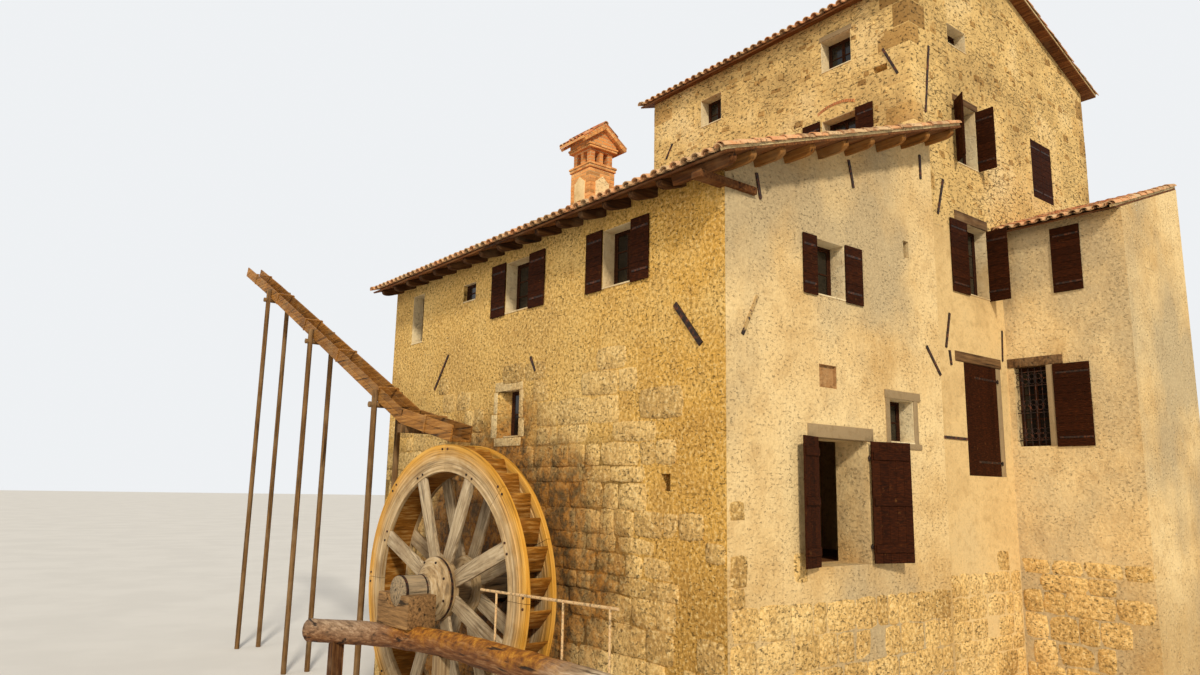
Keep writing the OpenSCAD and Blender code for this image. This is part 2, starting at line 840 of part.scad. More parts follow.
// A point at a radius and an angle
function polar(r, a) = [r * cos(a), r * sin(a)];

// Each bucket is a board square to the sole and a board that leans forward to the rim
module wheel_buckets() {
    r0 = rim_in + sole_t;
    pitch = 360 / bucket_count;
    color(wheel_wood) wheel_place() for (i = [0:bucket_count - 1])
        rotate(i * pitch) translate([0, 0, -wheel_w + rim_t])
            linear_extrude(wheel_w - 2 * rim_t)
                polygon([[r0, 0], polar(r0 + 190, pitch * 0.02), polar(wheel_r - 15, pitch * 0.7),
                    polar(wheel_r - 15, pitch * 0.77), polar(r0 + 175, pitch * 0.09), [r0, 28]]);
}

module wheel_shaft() {
    color(timber) wheel_place() translate([0, 0, -shaft_in - wheel_w])
        cylinder(r = shaft_r, h = shaft_in + wheel_w + shaft_out, $fn = round_fn);
}

// A round bar between two points
module bar(a, b, r) {
    d = b - a;
    len_d = norm(d);
    translate(a) rotate([0, acos(d[2] / len_d), atan2(d[1], d[0])]) cylinder(r = r, h = len_d, $fn = 24);
}

// The trunk: rings of points set square to its middle line
module log_form() {
    step = (log_y1 - log_y0) / (log_rings - 1);
    points = [for (i = [0:log_rings - 1]) for (j = [0:log_sides - 1])
        let (y = log_y0 + i * step, d = log_dir(y), side = [d[1], -d[0], 0], a = 360 * j / log_sides)
            log_mid(y) + log_radius(y) * (cos(a) * side + sin(a) * cross(side, d))];
    sides = [for (i = [0:log_rings - 2]) for (j = [0:log_sides - 1])
        let (k = (j + 1) % log_sides, n = i * log_sides)
            [n + j, n + k, n + k + log_sides, n + j + log_sides]];
    ends = [[for (j = [log_sides - 1:-1:0]) j], [for (j = [0:log_sides - 1]) (log_rings - 1) * log_sides + j]];
    polyhedron(points, concat(sides, ends));
}

// A straight round cut that seats a piece on the log at y
module log_seat(y) {
    d = log_dir(y) * 700;
    bar(log_mid(y) - d, log_mid(y) + d, log_radius(y) + seat_gap);
}

module log_beam() {
    color(timber) log_form();
}

module beam_posts() {
    color(timber) for (y = [500, 4300, 6700])
        difference() {
            translate([log_mid(y)[0] - 100, y - 100, 0]) cube([200, 200, log_mid(y)[2]]);
            log_seat(y);
        }
}

module shaft_bearings() {
    color(timber) difference() {
        union() {
            wheel_place() translate([-540, -480, 330]) cube([505, 960, 510]);
            block([680, 5300, floor_t], [960, 5900, wheel_face[2]]);
        }
        for (y = bearing_seats) log_seat(y);
        wheel_place() translate([0, 0, -4000]) cylinder(r = shaft_r + journal_gap, h = 6000, $fn = round_fn);
    }
}

// The flume's side outline: a band between two heights above its underside
module flume_outline(low, high, more) {
    line = [spout_end, flume_foot, flume_joint, flume_top];
    grown = [line[0] - more * (line[1] - line[0]) / 1000, line[1], line[2], line[3] + more * (line[3] - line[2]) / 1000];
    polygon(concat([for (p = grown) p + [0, low]], [for (i = [3:-1:0]) grown[i] + [0, high]]));
}

// An outline in Y and Z, extruded from x0 to x1
module along_x(x0, x1) {
    translate([x0, 0, 0]) rotate([90, 0, 90]) linear_extrude(x1 - x0) children();
}

module flume() {
    half = flume_w / 2;
    color(timber) difference() {
        along_x(flume_x - half - flume_board, flume_x + half + flume_board) flume_outline(0, flume_h, 0);
        along_x(flume_x - half, flume_x + half) flume_outline(flume_board, flume_h + 1000, 10);
    }
}

// A pole on each side of the flume with a crosspiece under it, and a beam out of the wall under its foot
module flume_supports() {
    fall = atan((flume_joint[1] - flume_foot[1]) / (flume_joint[0] - flume_foot[0]));
    out = flume_w / 2 + flume_board + trestle_r + 2;
    color(timber) {
        for (y = trestle_ys) {
            z = flume_z(y) - (trestle_r + 2) / cos(fall);
            for (s = [-1, 1]) translate([flume_x + s * out, y, 0]) cylinder(r = trestle_r, h = z + flume_h, $fn = 24);
            translate([flume_x - out - 120, y, z]) rotate([0, 90, 0]) cylinder(r = trestle_r, h = 2 * out + 240, $fn = 24);
        }
        flume_bracket();
    }
}

module flume_bracket() {
    difference() {
        block([-1290, bracket_y - 75, flume_z(bracket_y) - 150], [220, bracket_y + 75, flume_z(bracket_y) + 60]);
        along_x(-3000, 0) flume_outline(0, flume_h, 0);
        block([-eps, bracket_y - 100, flume_z(bracket_y) - 20], [300, bracket_y + 100, flume_z(bracket_y) + 100]);
    }
}

module handrail() {
    rail_out = 60;
    color(iron) {
        bar([log_mid(3420)[0] + rail_out, 3420, 2820], [log_mid(300)[0] + rail_out, 300, 2900], 20);
        for (y = [3000, 1400, 450]) difference() {
            translate([log_mid(y)[0] + rail_out, y, log_mid(y)[2]])
                cylinder(r = 16, h = 2828 + (3420 - y) * 0.0256 - log_mid(y)[2], $fn = 24);
            log_seat(y);
        }
    }
}

wheel_wall();
yard_wall_base();
yard_wall_left();
yard_wall_over();
yard_wall_right();
mill_end_wall();
mill_back_wall();
mill_floors();
mill_rafters();
verge_lookouts();
corner_beams();
mill_roof_boards();
mill_roof_tiles();
chimney_stack();
chimney_panels();
chimney_lantern();
chimney_roof();
house_left_wall();
house_yard_base();
house_yard_left();
house_yard_over();
house_yard_right();
house_back_wall();
house_right_wall();
house_floors();
house_roof_boards();
house_roof_tiles();
house_ridge();
wing_front_wall();
wing_party_walls();
wing_floors();
wing_roof();
shutters();
timber_lintels();
stone_trim();
brick_arch();
window_grille();
wall_anchors();
door_pintles();
yard_door_left();
yard_door_right();
house_door();
wheel_rings();
wheel_hubs();
wheel_spokes();
wheel_buckets();
wheel_sole();
wheel_shaft();
log_beam();
beam_posts();
shaft_bearings();
flume();
flume_supports();
handrail();
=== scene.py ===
"""Looks of a watermill: its walls, roofs, wheel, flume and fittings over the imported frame."""

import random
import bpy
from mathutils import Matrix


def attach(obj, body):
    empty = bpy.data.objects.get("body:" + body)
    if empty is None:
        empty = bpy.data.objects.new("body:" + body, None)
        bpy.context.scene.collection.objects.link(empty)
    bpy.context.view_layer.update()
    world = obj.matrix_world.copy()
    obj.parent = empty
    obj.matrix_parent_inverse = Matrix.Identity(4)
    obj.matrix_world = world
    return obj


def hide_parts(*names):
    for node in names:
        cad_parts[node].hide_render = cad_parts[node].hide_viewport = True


bl_info = {
    "name": "Watermill looks",
    "version": (1, 0, 0),
    "blender": (4, 5, 0),
    "location": "3D View > Sidebar > Watermill",
    "description": "Stone, tile, timber and iron detail for a mill house with an overshot wheel",
    "category": "Object",
}

from math import atan2, cos, hypot, pi, radians, sin, tan, tau

import bpy
import numpy as np
from mathutils import Matrix, Vector

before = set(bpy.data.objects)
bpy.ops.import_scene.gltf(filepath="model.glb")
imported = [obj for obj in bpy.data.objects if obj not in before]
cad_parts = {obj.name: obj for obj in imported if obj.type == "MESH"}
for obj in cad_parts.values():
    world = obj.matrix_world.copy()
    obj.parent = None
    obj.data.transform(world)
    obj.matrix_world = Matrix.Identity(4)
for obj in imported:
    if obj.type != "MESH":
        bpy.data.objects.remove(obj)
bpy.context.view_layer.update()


# Matrices


def moved(x, y, z):
    """A move."""
    return Matrix.Translation((x, y, z))


def turned(angle, axis):
    """A turn about an axis through the origin."""
    return Matrix.Rotation(angle, 4, axis)


def scaled(x, y, z):
    """A stretch from the origin."""
    return Matrix.Diagonal((x, y, z, 1))


# Slopes, tiles, chimney, wheel, flume and boarded leaves, in metres
PITCH = radians(19.2)
HOUSE_EAVE = 14.08
HOUSE_RIDGE_X = 9.205
HALF_HOUSE = 4.05
MILL_VERGES = (-0.57, 10.67)
HOUSE_VERGES = (0.04, 7.82)
WING_VERGES = (-2.0, 0.28)
MILL_SLOPE = moved(-0.57, 0, 8.72) @ turned(-PITCH, "Y")
HOUSE_SLOPE = moved(5.155, 0, HOUSE_EAVE) @ turned(-PITCH, "Y")
FAR_SLOPE = moved(HOUSE_RIDGE_X, 0, 0) @ scaled(-1, 1, 1) @ moved(-HOUSE_RIDGE_X, 0, 0) @ HOUSE_SLOPE
WING_SLOPE = moved(8.15, 0, 9.56) @ turned(-PITCH, "Y")
TILE = 0.42
CHIMNEY_X, CHIMNEY_Y, CHIMNEY_TOP = 0.62, 3.88, 10.82
CHIMNEY_PITCH = radians(36.5)
WHEEL_MIDDLE = (-1.28, 5.427, 2.619)
WHEEL_TURN = radians(4.5)
WHEEL_PLACE = moved(*WHEEL_MIDDLE) @ turned(WHEEL_TURN, "Z") @ turned(radians(-90), "Y")
WHEEL_W = 0.586
RIM_IN, RIM_OUT, RIM_T = 1.945, 2.415, 0.08
FLUME_X = -0.99
FLUME_LINE = [(5.43, 5.08), (7.475, 5.5), (17.02, 9.74), (19.09, 10.615)]
LEAF_T = 0.035
HALF_GAP = 0.0015

# A wall is its axis, its face and the way it looks
WHEEL_WALL = ("x", 0.0, -1)
YARD_WALL = ("y", 0.0, -1)
HOUSE_LEFT = ("x", 5.405, -1)
HOUSE_YARD = ("y", 0.29, -1)
HOUSE_RIGHT = ("x", 13.005, 1)
HOUSE_BACK = ("y", 7.57, 1)
MILL_END = ("y", 10.6, 1)
MILL_BACK = ("x", 6.005, 1)
WING_WALL = ("x", 8.4, -1)

# Window openings: wall, along from and to, bottom, top, depth of the casement, leaves
WINDOWS = [
    (WHEEL_WALL, 9.17, 9.70, 7.45, 8.56, 0.24, 1),
    (WHEEL_WALL, 6.88, 7.38, 8.04, 8.42, 0.08, 1),
    (WHEEL_WALL, 4.90, 5.72, 7.56, 8.56, 0.24, 2),
    (WHEEL_WALL, 2.01, 2.74, 7.53, 8.52, 0.24, 2),
    # The pit window: its dark casement and panes stand in the deeper half of the opening, in part as painted shade
    # where the jamb shades the splay.
    (WHEEL_WALL, 5.12, 5.61, 5.22, 6.08, 0.16, 1),
    (YARD_WALL, 2.00, 2.715, 7.30, 8.20, 0.26, 2),
    (YARD_WALL, 3.795, 4.485, 5.15, 5.865, 0.26, 2),
    (HOUSE_LEFT, 1.60, 2.33, 12.97, 13.68, 0.26, 2),
    (HOUSE_LEFT, 5.21, 5.88, 12.96, 13.66, 0.26, 2),
    (HOUSE_LEFT, 1.54, 2.35, 11.15, 11.90, 0.26, 2),
    (HOUSE_YARD, 7.08, 7.86, 8.15, 9.58, 0.24, 2),
    (HOUSE_YARD, 6.93, 7.72, 10.80, 12.10, 0.24, 2),
    (HOUSE_YARD, 6.80, 7.50, 13.30, 13.76, 0.24, 2),
    (WING_WALL, -0.455, 0.17, 5.30, 6.85, 0.2, 2),
]


# Selection and modelling helpers


def pick(*objects):
    """Selects these objects and nothing else."""
    if bpy.context.object and bpy.context.object.mode != "OBJECT":
        bpy.ops.object.mode_set(mode="OBJECT")
    bpy.ops.object.select_all(action="DESELECT")
    for obj in objects:
        obj.select_set(True)
    bpy.context.view_layer.objects.active = objects[-1] if objects else None


def edit(obj):
    """Opens an object's mesh with all of it selected."""
    pick(obj)
    bpy.ops.object.mode_set(mode="EDIT")
    bpy.ops.mesh.select_all(action="SELECT")


def linked(name, data):
    """A new object in the scene."""
    obj = bpy.data.objects.new(name, data)
    bpy.context.scene.collection.objects.link(obj)
    return obj


def discard(*objects):
    """Removes the patterns that pieces were copied from."""
    for obj in objects:
        bpy.data.objects.remove(obj)


def pattern_block():
    """A unit block from the origin to (1, 1, 1), the pattern of every board, beam and brick."""
    pick()
    bpy.ops.mesh.primitive_cube_add(size=1, location=(0.5, 0.5, 0.5))
    bpy.ops.object.transform_apply(location=True, rotation=True, scale=True)
    return bpy.context.object


def pattern_stone(seed, cuts, jitter):
    """A rough unit stone, centred, its dressed face towards +Z."""
    pick()
    bpy.ops.mesh.primitive_cube_add(size=1)
    stone = bpy.context.object
    bpy.ops.object.mode_set(mode="EDIT")
    bpy.ops.mesh.select_mode(type="FACE")
    bpy.ops.mesh.select_all(action="DESELECT")
    bpy.ops.object.mode_set(mode="OBJECT")
    for face in stone.data.polygons:
        face.select = face.normal.z > 0.9
    bpy.ops.object.mode_set(mode="EDIT")
    bpy.ops.mesh.inset(thickness=0.07)
    bpy.ops.transform.translate(value=(0, 0, 0.13))
    bpy.ops.mesh.select_all(action="SELECT")
    bpy.ops.transform.vertex_random(offset=jitter, uniform=0.0, normal=0.0, seed=seed)
    if cuts:
        bpy.ops.mesh.subdivide(number_cuts=cuts, smoothness=0.3)
        bpy.ops.transform.vertex_random(offset=0.022, uniform=0.0, normal=0.0, seed=seed + 50)
    bpy.ops.mesh.normals_make_consistent(inside=False)
    bpy.ops.object.mode_set(mode="OBJECT")
    return stone


def spun(name, points, angle, steps, axis):
    """A flat outline turned about an axis, with its seam closed where it comes full circle."""
    mesh = bpy.data.meshes.new(name)
    mesh.from_pydata(points, [], [tuple(range(len(points)))])
    obj = linked(name, mesh)
    edit(obj)
    bpy.ops.mesh.spin(steps=steps, angle=-angle, center=(0, 0, 0), axis=axis)
    bpy.ops.mesh.select_all(action="SELECT")
    if angle == tau:
        bpy.ops.mesh.remove_doubles(threshold=0.0001)
        bpy.ops.mesh.select_all(action="DESELECT")
        bpy.ops.mesh.select_interior_faces()
        bpy.ops.mesh.delete(type="FACE")
        bpy.ops.mesh.select_all(action="SELECT")
    bpy.ops.mesh.normals_make_consistent(inside=False)
    bpy.ops.object.mode_set(mode="OBJECT")
    return obj


def ringed(name, profile, angle, steps):
    """A profile of (radius, height) points turned about the Z axis."""
    return spun(name, [(r, 0, z) for r, z in profile], angle, steps, (0, 0, 1))


def collar(inner, outer, low, high, steps):
    """A flat band round the Z axis."""
    return ringed("collar", [(inner, low), (outer, low), (outer, high), (inner, high)], tau, steps)


def pattern_tile(low_r, high_r, length, flatten, steps):
    """A barrel tile along +X, arched towards +Z, its lower end at the origin."""
    t = 0.014
    outline = [(0, low_r - t, 0), (0, low_r, 0), (length, high_r, 0), (length, high_r - t, 0)]
    tile = spun("tile", outline, pi, steps, (1, 0, 0))
    mesh = tile.data
    up = 1 if sum(v.co.z for v in mesh.vertices) > 0 else -1
    for vertex in mesh.vertices:
        vertex.co.z *= up * flatten
    if up < 0:
        mesh.flip_normals()
    return tile


def mesh_arrays(obj):
    """Points, the faces' corners in their own and in reversed order, and the faces' sizes."""
    mesh = obj.data
    points = np.empty(len(mesh.vertices) * 3)
    mesh.vertices.foreach_get("co", points)
    corners = np.empty(len(mesh.loops), np.int32)
    mesh.loops.foreach_get("vertex_index", corners)
    counts = np.empty(len(mesh.polygons), np.int32)
    mesh.polygons.foreach_get("loop_total", counts)
    reverse = np.concatenate([part[::-1] for part in np.split(corners, np.cumsum(counts)[:-1])])
    return points.reshape(-1, 3), corners, reverse, counts


def copies(name, patterns, places, seed=1):
    """One object of many copies of modelled patterns, each copy with its own tone."""
    rng = random.Random(seed)
    arrays = [mesh_arrays(p) for p in patterns]
    points, corners, counts, tones = [], [], [], []
    base = 0
    for place in places:
        own, loops, reverse, sides = rng.choice(arrays)
        matrix = np.array(place)
        points.append(own @ matrix[:3, :3].T + matrix[:3, 3])
        corners.append((reverse if np.linalg.det(matrix[:3, :3]) < 0 else loops) + base)
        counts.append(sides)
        tones.append(np.full(len(sides), rng.random()))
        base += len(own)
    points, corners, counts, tones = (np.concatenate(part) for part in (points, corners, counts, tones))
    mesh = bpy.data.meshes.new(name)
    mesh.vertices.add(len(points))
    mesh.vertices.foreach_set("co", points.ravel())
    mesh.loops.add(len(corners))
    mesh.loops.foreach_set("vertex_index", corners.astype(np.int32))
    mesh.polygons.add(len(counts))
    mesh.polygons.foreach_set("loop_start", (np.cumsum(counts) - counts).astype(np.int32))
    mesh.update(calc_edges=True)
    mesh.attributes.new("tone", "FLOAT", "FACE").data.foreach_set("value", tones.astype(np.float32))
    return linked(name, mesh)


def span(low, high, place=None):
    """The place of a unit block that fills a box."""
    low, high = Vector(low), Vector(high)
    matrix = moved(*low) @ scaled(*(high - low))
    return place @ matrix if place else matrix


def wall_span(wall, low, high):
    """The place of a unit block given along a wall, into it, and up."""
    axis, face, looks = wall
    d0, d1 = sorted((face - looks * low[1], face - looks * high[1]))
    if axis == "x":
        return span((d0, low[0], low[2]), (d1, high[0], high[2]))
    return span((low[0], d0, low[2]), (high[0], d1, high[2]))


def bevel(obj, width, segments=1):
    """Rounds the edges with a modifier that is then applied."""
    pick(obj)
    edges = obj.modifiers.new("edges", "BEVEL")
    edges.width = width
    edges.segments = segments
    edges.limit_method = "ANGLE"
    bpy.ops.object.modifier_apply(modifier=edges.name)


def roughen(obj, strength, scale):
    """Moves the surface in and out a little, as weather does."""
    pick(obj)
    texture = bpy.data.textures.new("weather", "CLOUDS")
    texture.noise_scale = scale
    wear = obj.modifiers.new("wear", "DISPLACE")
    wear.texture = texture
    wear.texture_coords = "LOCAL"
    wear.strength = strength
    bpy.ops.object.modifier_apply(modifier=wear.name)


def settle(obj, finish, nodes=(), body="building", angle=35, slot=None):
    """Gives a piece its shading, finish and body, and hides the nodes that it stands for."""
    pick(obj)
    bpy.ops.object.shade_smooth_by_angle(angle=radians(angle))
    obj.data.materials.clear()
    obj.data.materials.append(finish_of(finish))
    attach(obj, body)
    slot or recipes()[finish][0]
    if nodes:
        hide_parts(*nodes)


def boxes(name, places, edge, finish, seed, nodes=(), body="building", segments=1, slot=None):
    """A settled piece of boards, beams or bricks: copies of the unit block with rounded edges."""
    block = pattern_block()
    obj = copies(name, [block], places, seed)
    discard(block)
    bevel(obj, edge, segments)
    settle(obj, finish, nodes, body, slot=slot)


def worn(node, name, edge, finish, body="building", angle=35, segments=2, weather=(), cuts=0):
    """A settled copy of a CAD node with merged faces, rounded edges and weathering."""
    obj = linked(name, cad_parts[node].data.copy())
    edit(obj)
    bpy.ops.mesh.remove_doubles(threshold=0.00005)
    if cuts:
        bpy.ops.mesh.tris_convert_to_quads()
        bpy.ops.mesh.subdivide(number_cuts=cuts, smoothness=0)
    else:
        bpy.ops.mesh.dissolve_limited(angle_limit=radians(0.5))
    bpy.ops.object.mode_set(mode="OBJECT")
    if edge:
        bevel(obj, edge, segments)
    for strength, scale in weather:
        roughen(obj, strength, scale)
    settle(obj, finish, [node], body, angle)


# Finishes


def linear(colour):
    """A screen colour as light."""
    return tuple(c / 12.92 if c <= 0.04045 else ((c + 0.055) / 1.055) ** 2.4 for c in colour[:3]) + (1.0,)


def shade(colour, factor):
    """A colour made darker or lighter."""
    return tuple(min(1.0, c * factor) for c in colour[:3])


def toward(colour, other, share):
    """A colour moved a share of the way to another."""
    return tuple(a + (b - a) * share for a, b in zip(colour[:3], other[:3]))


class Value:
    """What a node of a finish gives; sums of values are nodes too."""

    def __init__(self, finish, socket):
        self.finish = finish
        self.socket = socket

    def __add__(self, other):
        return self.finish.math("ADD", self, other)

    def __sub__(self, other):
        return self.finish.math("SUBTRACT", self, other)

    def __rsub__(self, other):
        return self.finish.math("SUBTRACT", other, self)

    def __mul__(self, other):
        return self.finish.math("MULTIPLY", self, other)

    def __pow__(self, other):
        return self.finish.math("POWER", self, other)

    def __abs__(self):
        return self.finish.math("ABSOLUTE", self, 0.0)


class Finish:
    """A node-based finish in the making."""

    def __init__(self, name, roughness, metallic=0.0, shine=0.15):
        self.material = bpy.data.materials.new(name)
        self.material.use_nodes = True
        self.nodes = self.material.node_tree.nodes
        self.links = self.material.node_tree.links
        self.shader = self.nodes["Principled BSDF"]
        self.shader.inputs["Roughness"].default_value = roughness
        self.shader.inputs["Metallic"].default_value = metallic
        self.shader.inputs["Specular IOR Level"].default_value = shine
        self.place = self.node("TexCoord", {}, "Object")

    def feed(self, socket, value):
        """Links a value to a socket, or sets the socket to a constant."""
        if isinstance(value, Value):
            self.links.new(value.socket, socket)
        else:
            socket.default_value = value

    def node(self, kind, inputs, output, **settings):
        """Adds a node, sets and feeds it, and gives one of its outputs."""
        node = self.nodes.new("ShaderNode" + kind)
        for key, value in settings.items():
            setattr(node, key, value)
        for key, value in inputs.items():
            self.feed(node.inputs[key], value)
        return Value(self, node.outputs[output])

    def math(self, operation, a, b):
        return self.node("Math", {0: a, 1: b}, "Value", operation=operation)

    def mapped(self, scale=(1, 1, 1), turn=(0, 0, 0), shift=(0, 0, 0), source=None):
        inputs = {"Vector": source or self.place, "Scale": scale, "Rotation": turn, "Location": shift}
        return self.node("Mapping", inputs, "Vector")

    def noise(self, scale, detail, source=None, rough=0.6):
        inputs = {"Vector": source or self.place, "Scale": scale, "Detail": detail, "Roughness": rough}
        return self.node("TexNoise", inputs, "Fac")

    def warped(self, amount, scale):
        """Object coordinates pushed about by noise."""
        push = self.node("TexNoise", {"Vector": self.place, "Scale": scale}, "Color")
        inputs = {0: push, 1: (amount, amount, amount), 2: self.place}
        return self.node("VectorMath", inputs, "Vector", operation="MULTIPLY_ADD")

    def mask(self, value, low, high):
        """0 up to one value, 1 from another, in either direction."""
        return self.node("MapRange", {"Value": value, "From Min": low, "From Max": high}, "Result")

    def split(self, source=None):
        parts = self.node("SeparateXYZ", {"Vector": source or self.place}, 0).socket.node.outputs
        return [Value(self, part) for part in parts]

    def ramp(self, value, *stops):
        """Colours over a value, each stop a position and a colour."""
        found = self.node("ValToRGB", {"Fac": value}, "Color")
        elements = found.socket.node.color_ramp.elements
        while len(elements) < len(stops):
            elements.new(0.5)
        for element, (position, colour) in zip(elements, stops):
            element.position = position
            element.color = linear(colour)
        return found

    def blend(self, factor, a, b, mode="MIX"):
        a, b = (value if isinstance(value, Value) else linear(value) for value in (a, b))
        return self.node("Mix", {0: factor, 6: a, 7: b}, 2, data_type="RGBA", blend_type=mode)

    def own(self, *stops):
        """Colours over the tone that each stone, tile or board has of its own."""
        return self.ramp(self.node("Attribute", {}, "Fac", attribute_name="tone"), *stops)

    def toned(self, share, colour, *stops):
        """A colour made darker by each stone's or board's own tone; a stop may be a grey."""
        stops = [(at, tint if isinstance(tint, tuple) else (tint, tint, tint)) for at, tint in stops]
        return self.blend(share, colour, self.blend(1.0, colour, self.own(*stops), "MULTIPLY"))

    def done(self, colour, height=None, depth=0.01):
        self.feed(self.shader.inputs["Base Color"], colour)
        if height is not None:
            bump = self.node("Bump", {"Strength": 1.0, "Distance": depth, "Height": height}, "Normal")
            self.feed(self.shader.inputs["Normal"], bump)
        return self.material


def wet_zone(f, broad):
    """How wet the wheel's spray keeps the wall: 1 behind the wheel, 0 further off."""
    x, y, z = f.split()
    dy = (y - 5.7) * 0.27
    dz = (z - 2.4) * 0.29
    ragged = dy * dy + dz * dz + (broad - 0.5) * 1.9
    return f.mask(ragged, 1.1, 0.55) * f.mask(x, 1.2, 0.6)


def plaster_layer(f, base, pits, wet=False, tones=0.0, grey=0.0, foot=0.0, joint_shade=False):
    """Colour and relief of lime plaster or stone.

    It has broad stains, grain with painted shade in its hollows and painted highlight on its crests,
    and pits with painted shade in their holes. A darker foot and darker plaster where the big stones
    are laid, both painted shade between the proud stones, grey patches that are partly painted dappled
    shadow of leaves, and, on the wheel's side, wet moss come where they are asked for.
    """
    broad = f.noise(0.5, 5)
    mottled = f.noise(2.6, 7, rough=0.65)
    x, y, z = f.split()
    stained, washed = toward(base, (0.66, 0.48, 0.24), 0.4), toward(base, (1.0, 0.93, 0.74), 0.3)
    colour = f.ramp(broad, (0.34, stained), (0.5, base), (0.66, washed))
    if wet:
        away = f.mask(y + mottled * 1.5, 1.6, 4.6)
        colour = f.blend(away * 0.5, colour, (0.86, 0.73, 0.47))
    if tones:
        colour = f.toned(tones, colour, (0.0, (0.78, 0.74, 0.66)), (0.3, (0.92, 0.90, 0.86)), (0.7, 1), (1.0, 1))
    if foot:
        # Painted shade: the plaster low on the wall, between the proud stones, made darker.
        low = f.mask(z + mottled * 1.2, foot + 1.0, foot)
        colour = f.blend(low * 0.45, colour, toward(base, (0.50, 0.36, 0.17), 0.75))
    colour = f.blend(f.mask(mottled, 0.5, 0.72) * 0.5, colour, toward(base, (0.60, 0.43, 0.22), 0.7))
    if grey:
        # Grey patches: a greyer plaster that is partly painted dappled shadow of leaves.
        grey_and_leaf_shadow = f.mask(f.noise(0.32, 4, f.mapped((1, 1, 0.7), shift=(3, 1, 2))), 0.46, 0.6)
        colour = f.blend(grey_and_leaf_shadow * grey, colour, (0.69, 0.62, 0.49))
        specks = f.mask(f.noise(16, 3, rough=0.5), 0.66, 0.7)
        colour = f.blend(specks * 0.6, colour, (0.45, 0.36, 0.24))
    grain = f.noise(17, 5, rough=0.68)
    # Painted shade in the grain's hollows and painted highlight on its crests, as raking light would give them.
    colour = f.blend(f.mask(grain, 0.5, 0.37) * (0.65 * pits), colour, shade(base, 0.57))
    colour = f.blend(f.mask(grain, 0.52, 0.63) * (0.6 * pits), colour, toward(base, (1.0, 0.93, 0.72), 0.6))
    pit = f.noise(1.0, 4, f.mapped((15, 15, 27)), 0.72)
    crowd = f.mask(f.noise(1.9, 4), 0.32, 0.56)
    holes = f.mask(pit, 0.43, 0.36) * crowd
    # Painted shade in the pits' holes.
    colour = f.blend(holes * (0.8 * pits), colour, shade(base, 0.4))
    if joint_shade:
        # Painted shade: the plaster between the big stones laid on the wheel wall made darker.
        laid = f.mask(y, 1.75, 2.1) * f.mask(z + mottled * 0.8, 5.6, 5.2) * f.mask(x, 0.03, 0.01)
        colour = f.blend(laid * 0.7, colour, shade(base, 0.42))
    relief = f.noise(8, 5) - holes * 0.6 + grain * 0.9
    if wet:
        spray = wet_zone(f, broad)
        moss = f.ramp(f.noise(4.2, 8, rough=0.68), (0.33, (0.13, 0.09, 0.04)), (0.46, (0.36, 0.23, 0.10)),
            (0.56, (0.64, 0.41, 0.13)), (0.7, (0.60, 0.48, 0.30)))
        colour = f.blend(spray * 0.85, colour, moss)
        f.feed(f.shader.inputs["Roughness"], 0.92 - spray * 0.3)
    return colour, relief * (0.35 + 0.75 * pits)


def plaster_finish(name, base, pits, wet=False, tones=0.0, grey=0.0, foot=0.0, joint_shade=False, end=None):
    """Lime plaster or stone; end gives the other plaster of the wall's end that faces the yard."""
    f = Finish(name, 0.92)
    colour, relief = plaster_layer(f, base, pits, wet, tones, grey, foot, joint_shade)
    if end:
        other, other_relief = plaster_layer(f, *end)
        over = f.mask(f.split()[1], 0.004, 0.002)
        colour = f.blend(over, colour, other)
        relief = relief * (1.0 - over) + other_relief * over
    return f.done(colour, relief, 0.03)


def rubble_finish(name, base, tones=0.0, smooth_below=0.0, limed=None):
    """Rubble half covered by lime mortar; below a height the mortar is smooth plaster."""
    f = Finish(name, 0.93)
    broad = f.noise(0.5, 5)
    middle = f.noise(6, 6)
    stained, washed = toward(base, (0.56, 0.45, 0.28), 0.45), toward(base, (1.0, 0.92, 0.74), 0.4)
    colour = f.ramp(broad, (0.34, stained), (0.52, base), (0.68, washed))
    bare_part = 1.0
    grain = f.noise(17, 5, rough=0.68)
    if smooth_below:
        bare_part = f.mask(f.split()[2] + broad * 1.6, smooth_below + 0.5, smooth_below + 1.3)
        stained, washed = toward(limed, (0.66, 0.52, 0.32), 0.35), toward(limed, (0.74, 0.66, 0.50), 0.3)
        coat = f.ramp(broad, (0.34, stained), (0.5, limed), (0.66, washed))
        # Painted shade in the hollows of the smooth coat's grain.
        coat = f.blend(f.mask(grain, 0.48, 0.36) * 0.3, coat, shade(limed, 0.6))
        colour = f.blend((1.0 - bare_part) * 0.85, colour, coat)
    if tones:
        colour = f.toned(tones, colour, (0.0, (0.62, 0.53, 0.42)), (0.25, (0.84, 0.77, 0.68)), (0.5, 1), (1.0, 1))
    pit = f.noise(1.0, 4, f.mapped((10, 10, 19)), 0.7)
    holes = f.mask(pit, 0.43, 0.35) * (bare_part * 0.85 + 0.15)
    relief = middle * 0.8 - holes * 0.7
    if not tones:
        place = f.mapped((4.4, 4.4, 9.0), source=f.warped(0.2, 2.2))
        edge = f.node("TexVoronoi", {"Vector": place, "Scale": 1.0}, "Distance", feature="DISTANCE_TO_EDGE")
        joint = f.mask(edge, 0.13, 0.02) * f.mask(f.noise(1.7, 6), 0.47, 0.6) * bare_part
        relief = relief - joint * 0.45
        colour = f.blend(joint * 0.14, colour, toward(base, (0.36, 0.27, 0.16), 0.8))
    relief = relief * (bare_part * 0.7 + 0.3) + grain * 0.3
    colour = f.blend(f.mask(middle, 0.52, 0.7) * 0.4, colour, toward(base, (0.55, 0.42, 0.25), 0.7))
    # Painted shade in the holes of the mortar.
    colour = f.blend(holes * 0.7, colour, shade(base, 0.38))
    return f.done(colour, relief, 0.045)


